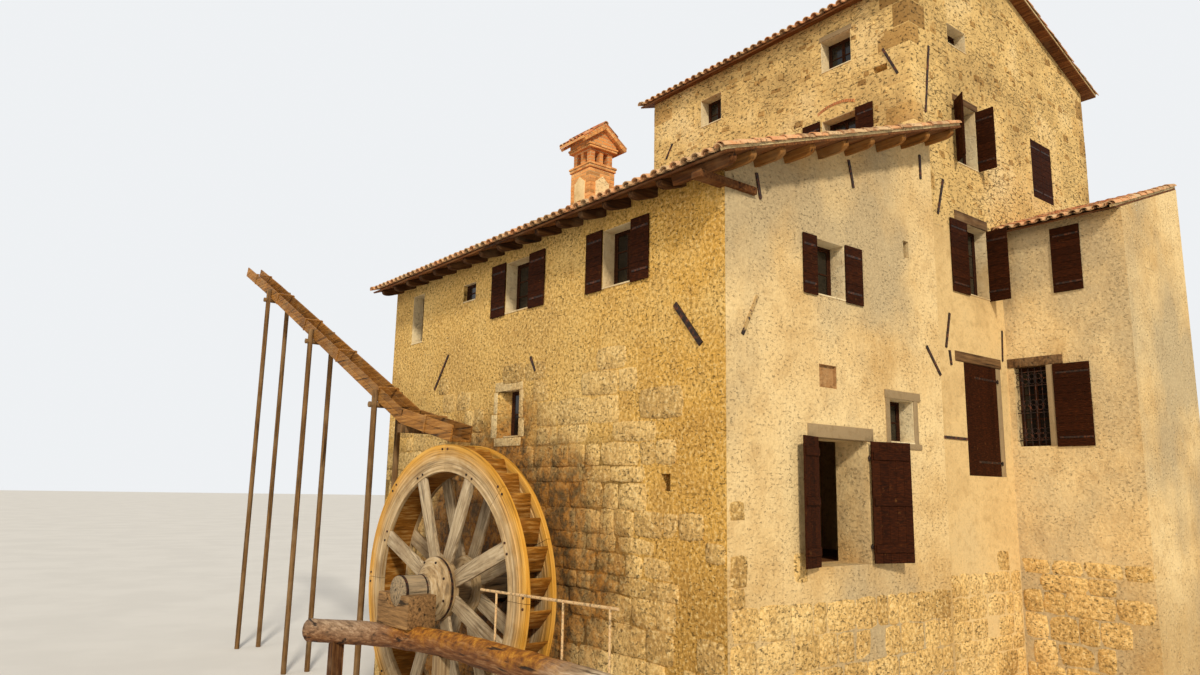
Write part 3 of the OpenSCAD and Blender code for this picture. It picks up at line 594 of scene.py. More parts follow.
def stone_finish(name, base, spread):
    """Dressed stones or bricks, each with its own tone, and lichen."""
    f = Finish(name, 0.9)
    tones = f.own((0.0, toward(base, (0.45, 0.36, 0.25), spread)),
        (0.35, toward(base, (0.62, 0.54, 0.42), spread * 0.5)), (0.7, base),
        (1.0, toward(base, (0.96, 0.88, 0.70), spread * 0.8)))
    middle = f.noise(9, 7)
    colour = f.blend(f.mask(middle, 0.52, 0.7) * 0.7, tones, toward(base, (0.42, 0.33, 0.21), 0.6))
    return f.done(colour, middle + f.noise(34, 6, rough=0.7) * 0.6, 0.012)


def tile_finish(name, base, dusty=0.5):
    """Fired clay, each tile with its own tone, dust and lichen."""
    f = Finish(name, 0.88)
    tones = f.own((0.0, toward(base, (0.38, 0.24, 0.16), 0.6)), (0.25, base),
        (0.5, toward(base, (0.86, 0.60, 0.42), 0.6)), (0.75, toward(base, (0.80, 0.68, 0.52), 0.5 + dusty * 0.4)),
        (1.0, toward(base, (0.62, 0.46, 0.32), 0.6)))
    dust = f.mask(f.noise(9, 6), 0.56 - dusty * 0.14, 0.72)
    colour = f.blend(dust * 0.8, tones, (0.86, 0.74, 0.56))
    colour = f.blend(f.mask(f.noise(17, 5), 0.56, 0.66) * 0.7, colour, (0.24, 0.19, 0.13))
    return f.done(colour, f.noise(60, 5), 0.004)


def timber_finish(name, base, axis, roughness=0.8, streak=0.7, bleached_at=None):
    """Sawn or hewn timber with its grain along an axis; the post at one y may be bleached."""
    f = Finish(name, roughness)
    along = f.mapped([0.8 if own == axis else 15.0 for own in "xyz"])
    grain = f.noise(1.6, 9, along, 0.7)
    cracks = f.noise(0.8, 4, along, 0.5)
    pale = shade(toward(base, (0.86, 0.70, 0.46), 0.3), 1 + streak * 0.15)
    colour = f.ramp(grain, (0.33, shade(base, 1 - streak * 0.5)), (0.5, base), (0.68, pale))
    if bleached_at:
        near = f.mask(abs(f.split()[1] - bleached_at), 0.3, 0.2)
        grey = f.ramp(grain, (0.33, (0.48, 0.38, 0.27)), (0.5, (0.74, 0.64, 0.48)), (0.68, (0.88, 0.80, 0.64)))
        colour = f.blend(near, colour, grey)
    colour = f.toned(0.7, colour, (0.0, (0.68, 0.66, 0.64)), (0.5, 0.95), (1.0, 1))
    colour = f.blend(f.mask(cracks, 0.37, 0.31) * 0.85, colour, shade(base, 0.28))
    colour = f.blend(f.mask(f.noise(1.7, 5), 0.5, 0.7) * 0.5, colour, toward(base, (0.60, 0.52, 0.40), 0.6))
    return f.done(colour, grain + f.mask(cracks, 0.31, 0.38) * 1.2, 0.006)


def log_finish(name, base):
    """A weathered log: grey-brown at its far end, golden moss on top of its middle, its near end bleached."""
    f = Finish(name, 0.72, 0.0, 0.25)
    x, y, z = f.split()
    along = f.mapped((12, 1.0, 12), source=f.warped(0.10, 1.5))
    grain = f.noise(1.7, 9, along, 0.7)
    cracks = f.noise(0.9, 4, along, 0.5)
    wood = f.ramp(grain, (0.32, shade(base, 0.45)), (0.5, base), (0.68, toward(base, (0.72, 0.58, 0.42), 0.6)))
    patch = f.noise(1.6, 6)
    moss = f.noise(9, 7, rough=0.7)
    golden = f.ramp(moss, (0.35, (0.34, 0.19, 0.05)), (0.5, (0.60, 0.37, 0.09)), (0.65, (0.80, 0.57, 0.20)))
    top = f.mask(z + (patch - 0.5) * 0.5, 1.93, 2.09)
    middle = f.mask(y, 6.4, 4.6) * f.mask(y, 0.6, 1.8)
    colour = f.blend(top * middle * 0.85, wood, golden)
    bleached = f.ramp(grain, (0.32, (0.42, 0.34, 0.26)), (0.5, (0.74, 0.66, 0.54)), (0.66, (0.88, 0.82, 0.72)))
    ends = f.mask(y, 1.7, 0.5) * 0.85 + f.mask(y, 5.2, 6.2) * 0.35
    colour = f.blend(ends * f.mask(z + patch * 0.3, 1.86, 2.14), colour, bleached)
    colour = f.blend(f.mask(cracks, 0.38, 0.31) * 0.9, colour, shade(base, 0.2))
    return f.done(colour, grain + f.mask(cracks, 0.31, 0.38) * 1.6, 0.012)


def paint_finish(name, base):
    """Old paint on boards, worn through in places."""
    f = Finish(name, 0.75, 0.0, 0.06)
    grain = f.noise(2.2, 8, f.mapped((5, 5, 26)))
    faded = shade(toward(base, (0.42, 0.25, 0.10), 0.3), 1.1)
    colour = f.ramp(grain, (0.35, shade(base, 0.6)), (0.55, base), (0.75, faded))
    colour = f.toned(0.6, colour, (0.0, 0.7), (1.0, 1))
    colour = f.blend(f.mask(f.noise(11, 7, rough=0.7), 0.62, 0.7), colour, (0.36, 0.23, 0.11))
    return f.done(colour, grain, 0.003)


def wheel_finish(name, base, edge, golden=0.0, grain=(11.0, 6.0, 0.8), blotches=0.55):
    """Wet wheel timber: rings of wear round the axle, a golden wet rim and dark joints."""
    f = Finish(name, 0.6, 0.0, 0.25)
    centred = f.mapped(shift=tuple(-c for c in WHEEL_MIDDLE))
    axle, y, z = f.split(f.mapped(turn=(0, 0, -WHEEL_TURN), source=centred))
    radius = (y * y + z * z) ** 0.5
    rings = {0: radius * grain[0], 1: axle * grain[1], 2: f.math("ARCTAN2", y, z) * grain[2]}
    streaks = f.noise(2.2, 7, f.node("CombineXYZ", rings, "Vector"), 0.65)
    pale = toward(base, (0.92, 0.86, 0.74), 0.55)
    colour = f.ramp(streaks, (0.33, shade(base, 0.55)), (0.5, base), (0.66, pale))
    blotch = f.noise(2.6, 6)
    colour = f.blend(f.mask(blotch, 0.46, 0.66) * blotches, colour, toward(base, (0.44, 0.32, 0.18), 0.8))
    bright = toward(edge, (0.96, 0.80, 0.45), 0.5)
    wet = f.ramp(streaks, (0.3, shade(edge, 0.55)), (0.5, edge), (0.68, bright))
    rim = f.mask(radius + (blotch - 0.5) * 0.18, 2.12, 2.38)
    colour = f.blend(f.math("MAXIMUM", rim * 0.9, golden), colour, wet)
    colour = f.toned(0.5, colour, (0.0, (0.78, 0.77, 0.76)), (1.0, 1))
    return f.done(colour, streaks + blotch * 0.5, 0.007)


def iron_finish(name, base, rusty=(0.46, 0.24, 0.12), metallic=0.5):
    """Iron with patches of rust."""
    f = Finish(name, 0.65, metallic, 0.4)
    rust = f.noise(17, 7)
    return f.done(f.ramp(rust, (0.38, shade(base, 0.6)), (0.52, base), (0.68, rusty)), rust, 0.002)


def anchor_finish(name, base):
    """Rusty iron; the bar low on the yard wall, by the corner, is limed over but for its tip."""
    f = Finish(name, 0.7, 0.0, 0.3)
    rust = f.noise(17, 7)
    colour = f.ramp(rust, (0.38, shade(base, 0.6)), (0.52, base), (0.68, (0.46, 0.24, 0.12)))
    x, y, z = f.split()
    bar = f.mask(x, 0.9, 0.86) * f.mask(y, 0.2, 0.1) * (f.mask(z, 7.5, 7.4) * f.mask(z, 6.52, 6.56))
    limed = bar * f.mask(f.noise(26, 4), 0.40, 0.5)
    return f.done(f.blend(limed, colour, (0.70, 0.58, 0.38)), rust, 0.002)


def brick_finish(name, base):
    """Small bricks in lime, laid in courses on the object's own height."""
    f = Finish(name, 0.88)
    x, y, z = f.split()
    bricks = f.node("TexBrick", {
        "Vector": f.node("CombineXYZ", {0: x + y, 1: z}, "Vector"), "Scale": 1.0, "Brick Width": 0.2,
        "Row Height": 0.062, "Mortar Size": 0.006, "Color1": linear(base),
        "Color2": linear(toward(base, (0.62, 0.3, 0.18), 0.5)), "Mortar": linear((0.78, 0.68, 0.5)),
    }, "Color")
    mortar = Value(f, bricks.socket.node.outputs["Fac"])
    stain = f.noise(7, 6)
    colour = f.blend(f.mask(stain, 0.55, 0.75), bricks, toward(base, (0.4, 0.28, 0.2), 0.6))
    return f.done(colour, stain - mortar, 0.004)


def glass_finish(name):
    """Old dark panes."""
    f = Finish(name, 0.14, 0.0, 0.35)
    colour = f.ramp(f.noise(1.3, 3), (0.4, (0.07, 0.06, 0.05)), (0.7, (0.13, 0.11, 0.09)))
    return f.done(colour, f.noise(2.5, 2), 0.002)


def floor_finish():
    """The pale floor of the stage."""
    f = Finish("studio_floor", 0.9)
    return f.done(f.ramp(f.noise(0.3, 3), (0.4, (0.86, 0.85, 0.83)), (0.6, (0.88, 0.87, 0.85))))


# User settings


def size_property(label, about, default, low, high):
    return bpy.props.FloatProperty(
        name=label, description=about, default=default, min=low, max=high, unit="LENGTH")


def colour_property(label, about, default):
    return bpy.props.FloatVectorProperty(
        name=label, description=about, subtype="COLOR_GAMMA", size=3, min=0, max=1, default=default)


class MillSizes(bpy.types.PropertyGroup):
    tile_pitch: size_property("Tile pitch", "Distance between rows of cover tiles", 0.21, 0.15, 0.3)
    tile_show: size_property("Tile exposure", "Length of each tile that shows", 0.34, 0.25, 0.45)
    board_width: size_property("Board width", "Width of the roof boards", 0.19, 0.1, 0.3)
    block_course: size_property("Block course", "Mean height of the big stones' courses", 0.35, 0.2, 0.45)
    rubble_course: size_property("Rubble course", "Mean height of the rubble stones", 0.135, 0.1, 0.2)
    shutter_board: size_property("Shutter board", "Height of the shutters' boards", 0.145, 0.1, 0.25)


class MillColours(bpy.types.PropertyGroup):
    ochre: colour_property("Ochre plaster", "Plaster of the wheel wall", (0.87, 0.67, 0.32))
    cream: colour_property("Cream plaster", "Plaster of the yard wall and the wing", (0.885, 0.76, 0.54))
    rubble: colour_property("Rubble", "Mortar and stones of the tall house", (0.87, 0.73, 0.47))
    block: colour_property("Big stones", "Coursed stones at the mill's foot", (0.91, 0.75, 0.47))
    reveal: colour_property("Reveals", "Pale plaster inside the window openings", (0.87, 0.79, 0.63))
    dressed: colour_property("Dressed stone", "Lintels and jambs", (0.71, 0.62, 0.47))
    clay: colour_property("Clay tile", "Roof tiles", (0.72, 0.43, 0.28))
    brick: colour_property("Brick", "Chimney and arch", (0.90, 0.62, 0.35))
    timber: colour_property("Timber", "Rafters, lintels and posts", (0.47, 0.28, 0.13))
    board: colour_property("Roof boards", "Underside of the roofs", (0.43, 0.25, 0.115))
    shutter: colour_property("Shutter paint", "Shutters and doors", (0.22, 0.095, 0.03))
    wheel: colour_property("Wheel timber", "Rings, spokes and hubs", (0.75, 0.63, 0.45))
    rim: colour_property("Wet rim", "Outer edge of the wheel", (0.83, 0.59, 0.17))
    bucket: colour_property("Bucket boards", "Buckets and sole", (0.55, 0.33, 0.07))
    log: colour_property("Log", "The beam in front of the wheel", (0.42, 0.25, 0.11))
    iron: colour_property("Iron", "Anchors, hinges and grille", (0.22, 0.16, 0.13))
    rail: colour_property("Handrail", "Rusty painted rail", (0.84, 0.70, 0.50))


def sizes():
    return bpy.context.scene.mill_sizes


def recipes():
    """Every finish: the slot of its pieces, the function that makes it and that function's values."""
    c = bpy.context.scene.mill_colours
    cream = (c.cream, 0.3, False, 0.0, 0.75, 2.7)
    return {
        # Ochre plaster: its foot 3.2 and its joint shade are painted shade between the stones.
        "ochre_plaster": ("plaster", plaster_finish, c.ochre, 1.0, True, 0.0, 0.0, 3.2, True, cream),
        # Cream plaster: its grey share 0.75 is partly painted dappled shadow of leaves, its foot 2.7 painted shade
        # between stones.
        "cream_plaster": ("plaster", plaster_finish, *cream),
        "panel_plaster": ("plaster", plaster_finish, (0.95, 0.84, 0.63), 0.15),
        "reveal_plaster": ("plaster", plaster_finish, c.reveal, 0.15),
        # The niche's plaster: a reddish tint that is partly painted shade in the recess.
        "niche_plaster": ("plaster", plaster_finish, (0.66, 0.49, 0.31), 0.3),
        "block_stones": ("grey_stone", plaster_finish, c.block, 1.0, True, 0.7),
        "pale_stone": ("grey_stone", plaster_finish, (0.87, 0.77, 0.57), 0.6),
        "dressed_stone": ("grey_stone", stone_finish, c.dressed, 0.4),
        "rubble_mortar": ("rubble", rubble_finish, c.rubble, 0.0, 9.3, shade(c.cream, 0.98)),
        "rubble_stones": ("rubble", rubble_finish, c.rubble, 0.8),
        "laid_brick": ("brick", brick_finish, c.brick),
        "single_bricks": ("brick", stone_finish, c.brick, 0.4),
        "arch_bricks": ("brick", stone_finish, (0.70, 0.42, 0.25), 0.5),
        "clay_tiles": ("roof_tile", tile_finish, c.clay),
        "eave_tiles": ("roof_tile", tile_finish, toward(c.clay, (0.86, 0.69, 0.48), 0.6), 1.0),
        # Painted shade: the rafters take a darker copy of the timber, as they stand in shade under the eave.
        "timber_x": ("timber", timber_finish, shade(c.timber, 0.72), "x"),
        "timber_y": ("timber", timber_finish, c.timber, "y"),
        # Painted light: the verge lookouts take a paler copy of the timber, as if lit by the sun and by light thrown
        # back from the wall.
        "verge_timber": ("timber", timber_finish, (0.70, 0.47, 0.22), "y"),
        "lintel_timber": ("timber", timber_finish, (0.50, 0.37, 0.24), "x", 0.85, 0.9),
        "trestle_timber": ("timber", timber_finish, (0.56, 0.42, 0.26), "z", 0.8, 0.9),
        "post_timber": ("timber", timber_finish, shade(c.timber, 0.75), "z", 0.8, 0.8, 4.3),
        "roof_boards": ("timber", timber_finish, c.board, "y", 0.75, 0.5),
        "bearing_timber": ("timber", timber_finish, (0.63, 0.48, 0.31), "y", 0.75, 1.0),
        "shaft_timber": ("timber", timber_finish, (0.70, 0.62, 0.50), "x", 0.75, 0.9),
        "flume_boards": ("flume_wood", timber_finish, (0.60, 0.40, 0.17), "y", 0.6, 0.9),
        "log_bark": ("log_wood", log_finish, c.log),
        "shutter_paint": ("shutter_wood", paint_finish, c.shutter),
        "casement_wood": ("timber", paint_finish, (0.24, 0.13, 0.07)),
        "window_glass": ("timber", glass_finish),
        "wheel_timber": ("wheel_wood", wheel_finish, c.wheel, c.rim),
        "bucket_timber": ("wheel_wood", wheel_finish, c.bucket, toward(c.rim, c.bucket, 0.75), 0.6,
            (9.0, 1.2, 22.0), 0.3),
        "spoke_timber": ("wheel_wood", wheel_finish, (0.76, 0.67, 0.53), c.rim, 0.0, (0.8, 10.0, 16.0)),
        "rusty_iron": ("iron", iron_finish, c.iron),
        "anchor_iron": ("iron", anchor_finish, c.iron),
        "rail_iron": ("iron", iron_finish, c.rail, (0.66, 0.48, 0.30), 0.0),
    }


made = {}


def finish_of(name):
    """The finish with this name, made on first use."""
    if name not in made:
        _, maker, *values = recipes()[name]
        made[name] = maker(name, *values)
    return made[name]


NODE_FINISHES = {
    "ochre_plaster": ["wheel_wall", "mill_end_wall", "mill_back_wall"],
    "cream_plaster": ["yard_wall_base", "yard_wall_left", "yard_wall_over", "yard_wall_right",
        "wing_front_wall", "wing_party_walls"],
    "rubble_mortar": ["house_left_wall", "house_yard_base", "house_yard_left", "house_yard_over",
        "house_yard_right", "house_back_wall", "house_right_wall"],
    "timber_y": ["mill_floors", "house_floors", "wing_floors"],
    "laid_brick": ["chimney_stack", "chimney_lantern", "chimney_roof", "brick_arch"],
    "panel_plaster": ["chimney_panels"],
    "rusty_iron": ["window_grille", "door_pintles"],
    "anchor_iron": ["wall_anchors"],
    "rail_iron": ["handrail"],
    "bucket_timber": ["wheel_sole"],
}


# Stage


class MILL_OT_stage(bpy.types.Operator):
    """Adds the floor, the lights and the camera"""

    bl_idname = "mill.stage"
    bl_label = "Stage"

    def execute(self, context):
        scene = context.scene
        pick()
        bpy.ops.mesh.primitive_grid_add(x_subdivisions=8, y_subdivisions=8, size=700, location=(5, 5, -0.004))
        bpy.ops.object.transform_apply(location=True, rotation=True, scale=True)
        floor = context.object
        floor.name = "studio_floor"
        floor.data.materials.append(floor_finish())
        lamps = [
            ("key", (0.40, 0.76, -0.54), 2.7, 6, (1.0, 0.92, 0.78)),
            ("fill", (0.92, 0.25, -0.30), 1.0, 40, (1.0, 0.92, 0.80)),
        ]
        for name, aim, strength, spread, tint in lamps:
            data = bpy.data.lights.new(name, "SUN")
            data.energy = strength
            data.angle = radians(spread)
            data.color = tint
            linked(name, data).rotation_euler = Vector(aim).to_track_quat("-Z", "Y").to_euler()
        scene.world = bpy.data.worlds.new("studio")
        scene.world.use_nodes = True
        nodes, links = scene.world.node_tree.nodes, scene.world.node_tree.links
        background = nodes["Background"]
        background.inputs["Strength"].default_value = 1.0
        rays = nodes.new("ShaderNodeLightPath")
        seen = nodes.new("ShaderNodeMath")
        seen.operation = "MAXIMUM"
        links.new(rays.outputs["Is Camera Ray"], seen.inputs[0])
        links.new(rays.outputs["Is Glossy Ray"], seen.inputs[1])
        mixed = nodes.new("ShaderNodeMix")
        mixed.data_type = "RGBA"
        links.new(seen.outputs["Value"], mixed.inputs[0])
        mixed.inputs[6].default_value = (0.40, 0.395, 0.39, 1)
        mixed.inputs[7].default_value = (0.86, 0.88, 0.90, 1)
        links.new(mixed.outputs[2], background.inputs["Color"])
        data = bpy.data.cameras.new("camera")
        focal, width = 850, 1200
        data.sensor_width = 36
        data.lens = focal / width * data.sensor_width
        data.clip_end = 400
        camera = linked("camera", data)
        right = Vector((0.7849, -0.6193, 0.0198))
        up = Vector((-0.1244, -0.1262, 0.9842))
        ahead = Vector((0.6070, 0.7750, 0.1761))
        camera.matrix_world = moved(-8.359, -7.898, 4.3125) @ Matrix((right, up, -ahead)).transposed().to_4x4()
        scene.camera = camera
        scene.view_settings.view_transform = "Standard"
        return {"FINISHED"}


class MILL_OT_node_finishes(bpy.types.Operator):
    """Gives each CAD node that stays in view its finish"""

    bl_idname = "mill.node_finishes"
    bl_label = "Node finishes"

    def execute(self, context):
        for finish, nodes in NODE_FINISHES.items():
            for node in nodes:
                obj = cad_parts[node]
                obj.data.materials.clear()
                obj.data.materials.append(finish_of(finish))
        return {"FINISHED"}


# Masonry


def openings(wall, *others):
    """What stones leave free on a wall: its windows and the other openings given."""
    return [window[1:5] for window in WINDOWS if window[0] == wall] + list(others)


def wall_turn(wall):
    """The turn of a stone whose face looks out of a wall."""
    axis, _, looks = wall
    outward = Vector((looks, 0, 0)) if axis == "x" else Vector((0, looks, 0))
    up = Vector((0, 0, 1))
    return Matrix((up.cross(outward), up, outward)).transposed().to_4x4()


def laid_stones(wall, along, up, course, width, proud, free, keep, seed, tilt=2.5):
    """Places of stones laid in rough courses over a part of a wall, clear of its openings."""
    rng = random.Random(seed)
    axis, face, looks = wall
    turn = wall_turn(wall)
    slack, depth, bulge = 0.01, 0.12, 1.02
    places = []
    z = up[0]
    while z < up[1] - course * 0.5:
        height = min(course * rng.uniform(0.7, 1.35), up[1] - z)
        top = z + height
        u = along[0] + rng.uniform(0, 0.05)
        while u < along[1] - width * 0.3:
            length = min(width * rng.uniform(0.5, 1.55), along[1] - u)
            a, b = u, u + length
            u = b
            if any(a < g[1] - slack and b > g[0] + slack and z < g[3] - slack and top > g[2] + slack for g in free):
                continue
            middle = ((a + b) / 2, z + height / 2)
            if length < width * 0.3 or rng.random() > keep(*middle):
                continue
            joint = rng.uniform(0.008, 0.03)
            spot = face + looks * (rng.uniform(*proud) - depth * 0.66)
            centre = (spot, *middle) if axis == "x" else (middle[0], spot, middle[1])
            lean = turned(radians(rng.uniform(-tilt, tilt)), "Z")
            size = scaled((length - joint) / bulge, (height - joint) / bulge, depth)
            places.append(moved(*centre) @ turn @ lean @ size)
        z = top
    return places


class MILL_OT_block_stones(bpy.types.Operator):
    """Lays the big coursed stones that show at the foot of the mill house"""

    bl_idname = "mill.block_stones"
    bl_label = "Big stones"

    def execute(self, context):
        course, foot = sizes().block_course, 0.05

        def shown(y, z):
            if y < 1.1:
                return 0.25 if z < 5.0 else 0.0
            if z < 5.0:
                return 1.0
            return 0.75 if z < 5.6 else 0.35 if z < 6.4 and y < 9 else 0.0

        wheel_wall = openings(WHEEL_WALL, (5.12, 5.85, 5.22, 6.08), (1.09, 1.29, 4.31, 4.555),
            (7.22, 7.38, 5.31, 5.5), (4.6, 6.2, 1.9, 3.4))
        yard_door = [(1.7, 3.3, 3.2, 5.4)]
        fields = [
            (WHEEL_WALL, (0.02, 10.58), 7.0, 0.66, (0.004, 0.026), wheel_wall, shown, 3),
            (YARD_WALL, (0.02, 5.4), 4.2, 0.52, (0.005, 0.02), yard_door,
                lambda x, z: 0.95 if z < 2.9 else 0.25 if x < 1.7 else 0.0, 5),
            (MILL_END, (0.02, 6.0), 5.0, 0.55, (0.005, 0.022), [], lambda x, z: 0.95 if z < 2.6 else 0.25, 6),
            (MILL_BACK, (7.6, 10.58), 3.0, 0.55, (0.005, 0.022), [], lambda x, z: 0.95, 7),
            (HOUSE_YARD, (5.42, 8.38), 3.4, 0.5, (0.005, 0.02), [], lambda x, z: 0.95 if z < 2.9 else 0.4, 23),
            (WING_WALL, (-2.0, 0.27), 3.2, 0.55, (0.005, 0.02), [], lambda x, z: 0.95, 8),
        ]
        places = []
        for wall, along, top, width, proud, free, keep, seed in fields:
            places += laid_stones(wall, along, (foot, top), course, width, proud, free, keep, seed)
        patterns = [pattern_stone(seed, 2, 0.075) for seed in range(11)]
        stones = copies("block_stones", patterns, places, 11)
        discard(*patterns)
        roughen(stones, 0.022, 0.09)
        settle(stones, "block_stones", angle=60)
        return {"FINISHED"}


class MILL_OT_rubble(bpy.types.Operator):
    """Lays the rubble stones of the tall house and the quoins at its corners"""

    bl_idname = "mill.rubble"
    bl_label = "Rubble and quoins"

    def execute(self, context):
        course = sizes().rubble_course
        patterns = [pattern_stone(seed + 20, 0, 0.16) for seed in range(11)]

        def under_roof(x, z):
            roof = HOUSE_EAVE + (HALF_HOUSE - abs(x - HOUSE_RIDGE_X)) * tan(PITCH)
            return (0.5 if z > 10.6 else 0.25) if z < roof - 0.12 else 0.0

        left = openings(HOUSE_LEFT, (1.60, 2.33, 12.97, 13.78), (0.79, 1.10, 12.47, 12.61), (1.55, 2.45, 12.0, 12.23))
        yard = openings(HOUSE_YARD, (10.10, 11.07, 10.85, 12.20), (6.72, 8.09, 4.70, 6.80), (6.43, 8.11, 6.80, 6.99),
            (6.68, 7.905, 9.58, 9.78), (6.85, 7.80, 12.10, 12.24), (8.4, 11.4, 0, 10.9))
        sides = [
            ("left", HOUSE_LEFT, (0.75, 7.4), (10.9, 14.1), 1.0, 0.2, left, lambda y, z: 0.5, 21),
            ("yard", HOUSE_YARD, (5.9, 12.6), (9.7, 15.4), 1.0, 0.2, yard, under_roof, 22),
            ("right", HOUSE_RIGHT, (0.75, 7.1), (9.7, 14.1), 1.2, 0.26, [], lambda y, z: 0.5, 24),
            ("back", HOUSE_BACK, (5.9, 12.6), (9.7, 15.4), 1.2, 0.26, [(5.4, 6.1, 0, 11.1)], under_roof, 25),
        ]
        for side, wall, along, up, coarse, width, free, keep, seed in sides:
            places = laid_stones(wall, along, up, course * coarse, width, (-0.004, 0.018), free, keep, seed, 9)
            settle(copies("rubble_" + side, patterns, places, 31), "rubble_stones", angle=25)
        discard(*patterns)
        rng = random.Random(9)
        joint, last, eave, wing_roof, terrace = 0.007, 13.8, 14.04, 9.6, 4.2
        quoins = []
        corners = [(5.405, 0.29, 1, 1, 9.6), (13.005, 0.29, -1, 1, 0.02), (13.005, 7.57, -1, -1, 0.02),
            (5.405, 7.57, 1, -1, 11.1)]
        for x, y, sx, sy, low in corners:
            z, swapped = low, False
            while z < last:
                height = min(rng.uniform(0.34, 0.52), eave - z)
                along_y, along_x = rng.uniform(0.55, 0.72), rng.uniform(0.3, 0.4)
                if swapped:
                    along_x, along_y = along_y, along_x
                out = rng.uniform(0.003, 0.009)
                x0, x1 = sorted((x - sx * out, x + sx * along_x))
                y0, y1 = sorted((y - sy * out, y + sy * along_y))
                if z > wing_roof or z < terrace:
                    quoins.append(span((x0, y0, z + joint), (x1, y1, z + height - joint)))
                z += height
                swapped = not swapped
        boxes("quoins", quoins, 0.014, "rubble_stones", 12, segments=2)
        return {"FINISHED"}


class MILL_OT_trim(bpy.types.Operator):
    """Models the dressed stones, the lintels, the niche's lining, two irons and the brick arch"""

    bl_idname = "mill.trim"
    bl_label = "Lintels, jambs and arch"

    def execute(self, context):
        pale = [
            ((5.0, -0.012, 6.08), (5.95, 0.2, 6.26)), ((5.02, -0.012, 5.06), (5.93, 0.2, 5.215)),
            ((5.855, -0.008, 5.22), (6.06, 0.2, 5.66)), ((5.855, -0.008, 5.668), (5.99, 0.2, 6.075)),
            ((4.93, -0.008, 5.22), (5.115, 0.2, 5.56)), ((4.98, -0.008, 5.568), (5.115, 0.2, 6.075)),
        ]
        surround = [wall_span(WHEEL_WALL, low, high) for low, high in pale]
        boxes("pit_window_stones", surround, 0.014, "pale_stone", 13, segments=2)
        worn("stone_trim", "dressed_stones", 0.012, "dressed_stone", weather=[(0.008, 0.1)])
        worn("timber_lintels", "timber_lintels_worn", 0.012, "lintel_timber")
        top, tip = Vector((0, 0.988, 6.991)), Vector((0, 0.475, 6.364))
        run = tip - top
        slanting = moved(*top) @ turned(atan2(run.z, run.y), "X")
        broad = span((-0.026, -0.02, -0.043), (0.004, run.length + 0.02, 0.043), slanting)
        boxes("broad_anchor", [broad], 0.003, "rusty_iron", 15)
        upright = moved(8.195, 0.264, 6.97) @ turned(radians(5), "Y")
        boxes("corner_bar", [span((-0.014, 0, 0), (0.014, 0.028, 0.63), upright)], 0.003, "rusty_iron", 16)
        # The niche's lining: back, sides and head in a darker reddish plaster, partly painted shade in the recess and
        # under its head.
        a, b, low, high = 2.01, 2.43, 5.89, 6.24
        face, back, skin = 0.002, 0.05, 0.008
        sides = [
            ((a, back, low), (b, back + skin, high)), ((b - skin, face, low), (b, back, high)),
            ((a, face, low), (a + skin, back, high)), ((a + skin, face, high - skin), (b - skin, back, high)),
        ]
        boxes("niche_lining", [wall_span(YARD_WALL, *side) for side in sides], 0.002, "niche_plaster", 17)
        count, reach = 16, 48.4
        arch = []
        for i in range(count):
            angle = radians(reach * (i + 0.5) / count - reach / 2)
            place = moved(5.395, 2.0, 11.13) @ turned(-angle, "X")
            arch.append(span((0, -0.024, 1.035), (0.16, 0.024, 1.095), place))
        boxes("arch_bricks", arch, 0.004, "arch_bricks", 14)
        return {"FINISHED"}


# Roofs

TILE_KINDS = {"covers": "clay_tiles", "pans": "clay_tiles", "edge_covers": "eave_tiles", "edge_pans": "eave_tiles"}


def tiled(laid, slope, along, reach, holes, seed):
    """Adds the places of a slope's tiles to laid: along is its y range and reach(y) its length."""
    rng = random.Random(seed)
    pitch, show = sizes().tile_pitch, sizes().tile_show
    least = 0.12
    count = round((along[1] - along[0] - pitch) / pitch)
    step = (along[1] - along[0] - pitch) / count
    for i in range(2 * count + 1):
        y = along[0] + pitch / 2 + i * step / 2
        cover = i % 2 == 0
        x, height = (-0.05, 0.075) if cover else (-0.025, 0.094)
        end = reach(y)
        while x < end - least:
            start = min(x, end - TILE)
            x += show
            spot = slope @ Vector((start + TILE / 2, y, 0.09))
            if any(h[0] < spot.x < h[1] and h[2] < spot.y < h[3] for h in holes):
                continue
            slip = rng.uniform(-0.008, 0.008) * (start > 0)
            jitter = moved(slip, rng.uniform(-0.006, 0.006), rng.uniform(0, 0.004))
            lean = turned(radians(1.9 + rng.uniform(-0.4, 0.4)), "Y") @ turned(radians(rng.uniform(-1.6, 1.6)), "Z")
            place = slope @ moved(start, y, height) @ jitter @ lean
            kind = ("edge_" if start < 0 else "") + ("covers" if cover else "pans")
            laid[kind].append(place if cover else place @ turned(pi, "X"))
    for y in (along[0] + 0.05, along[1] - 0.05):
        x = -0.05
        while x < reach(y) - least:
            start = min(x, reach(y) - TILE)
            x += show
            lean = turned(radians(1.9 + rng.uniform(-0.5, 0.9)), "Y") @ turned(radians(rng.uniform(-2, 2)), "Z")
            place = slope @ moved(start, y, 0.084 + rng.uniform(0, 0.006)) @ lean
            laid["edge_covers"].append(place @ scaled(1, 1.12, 1.1))


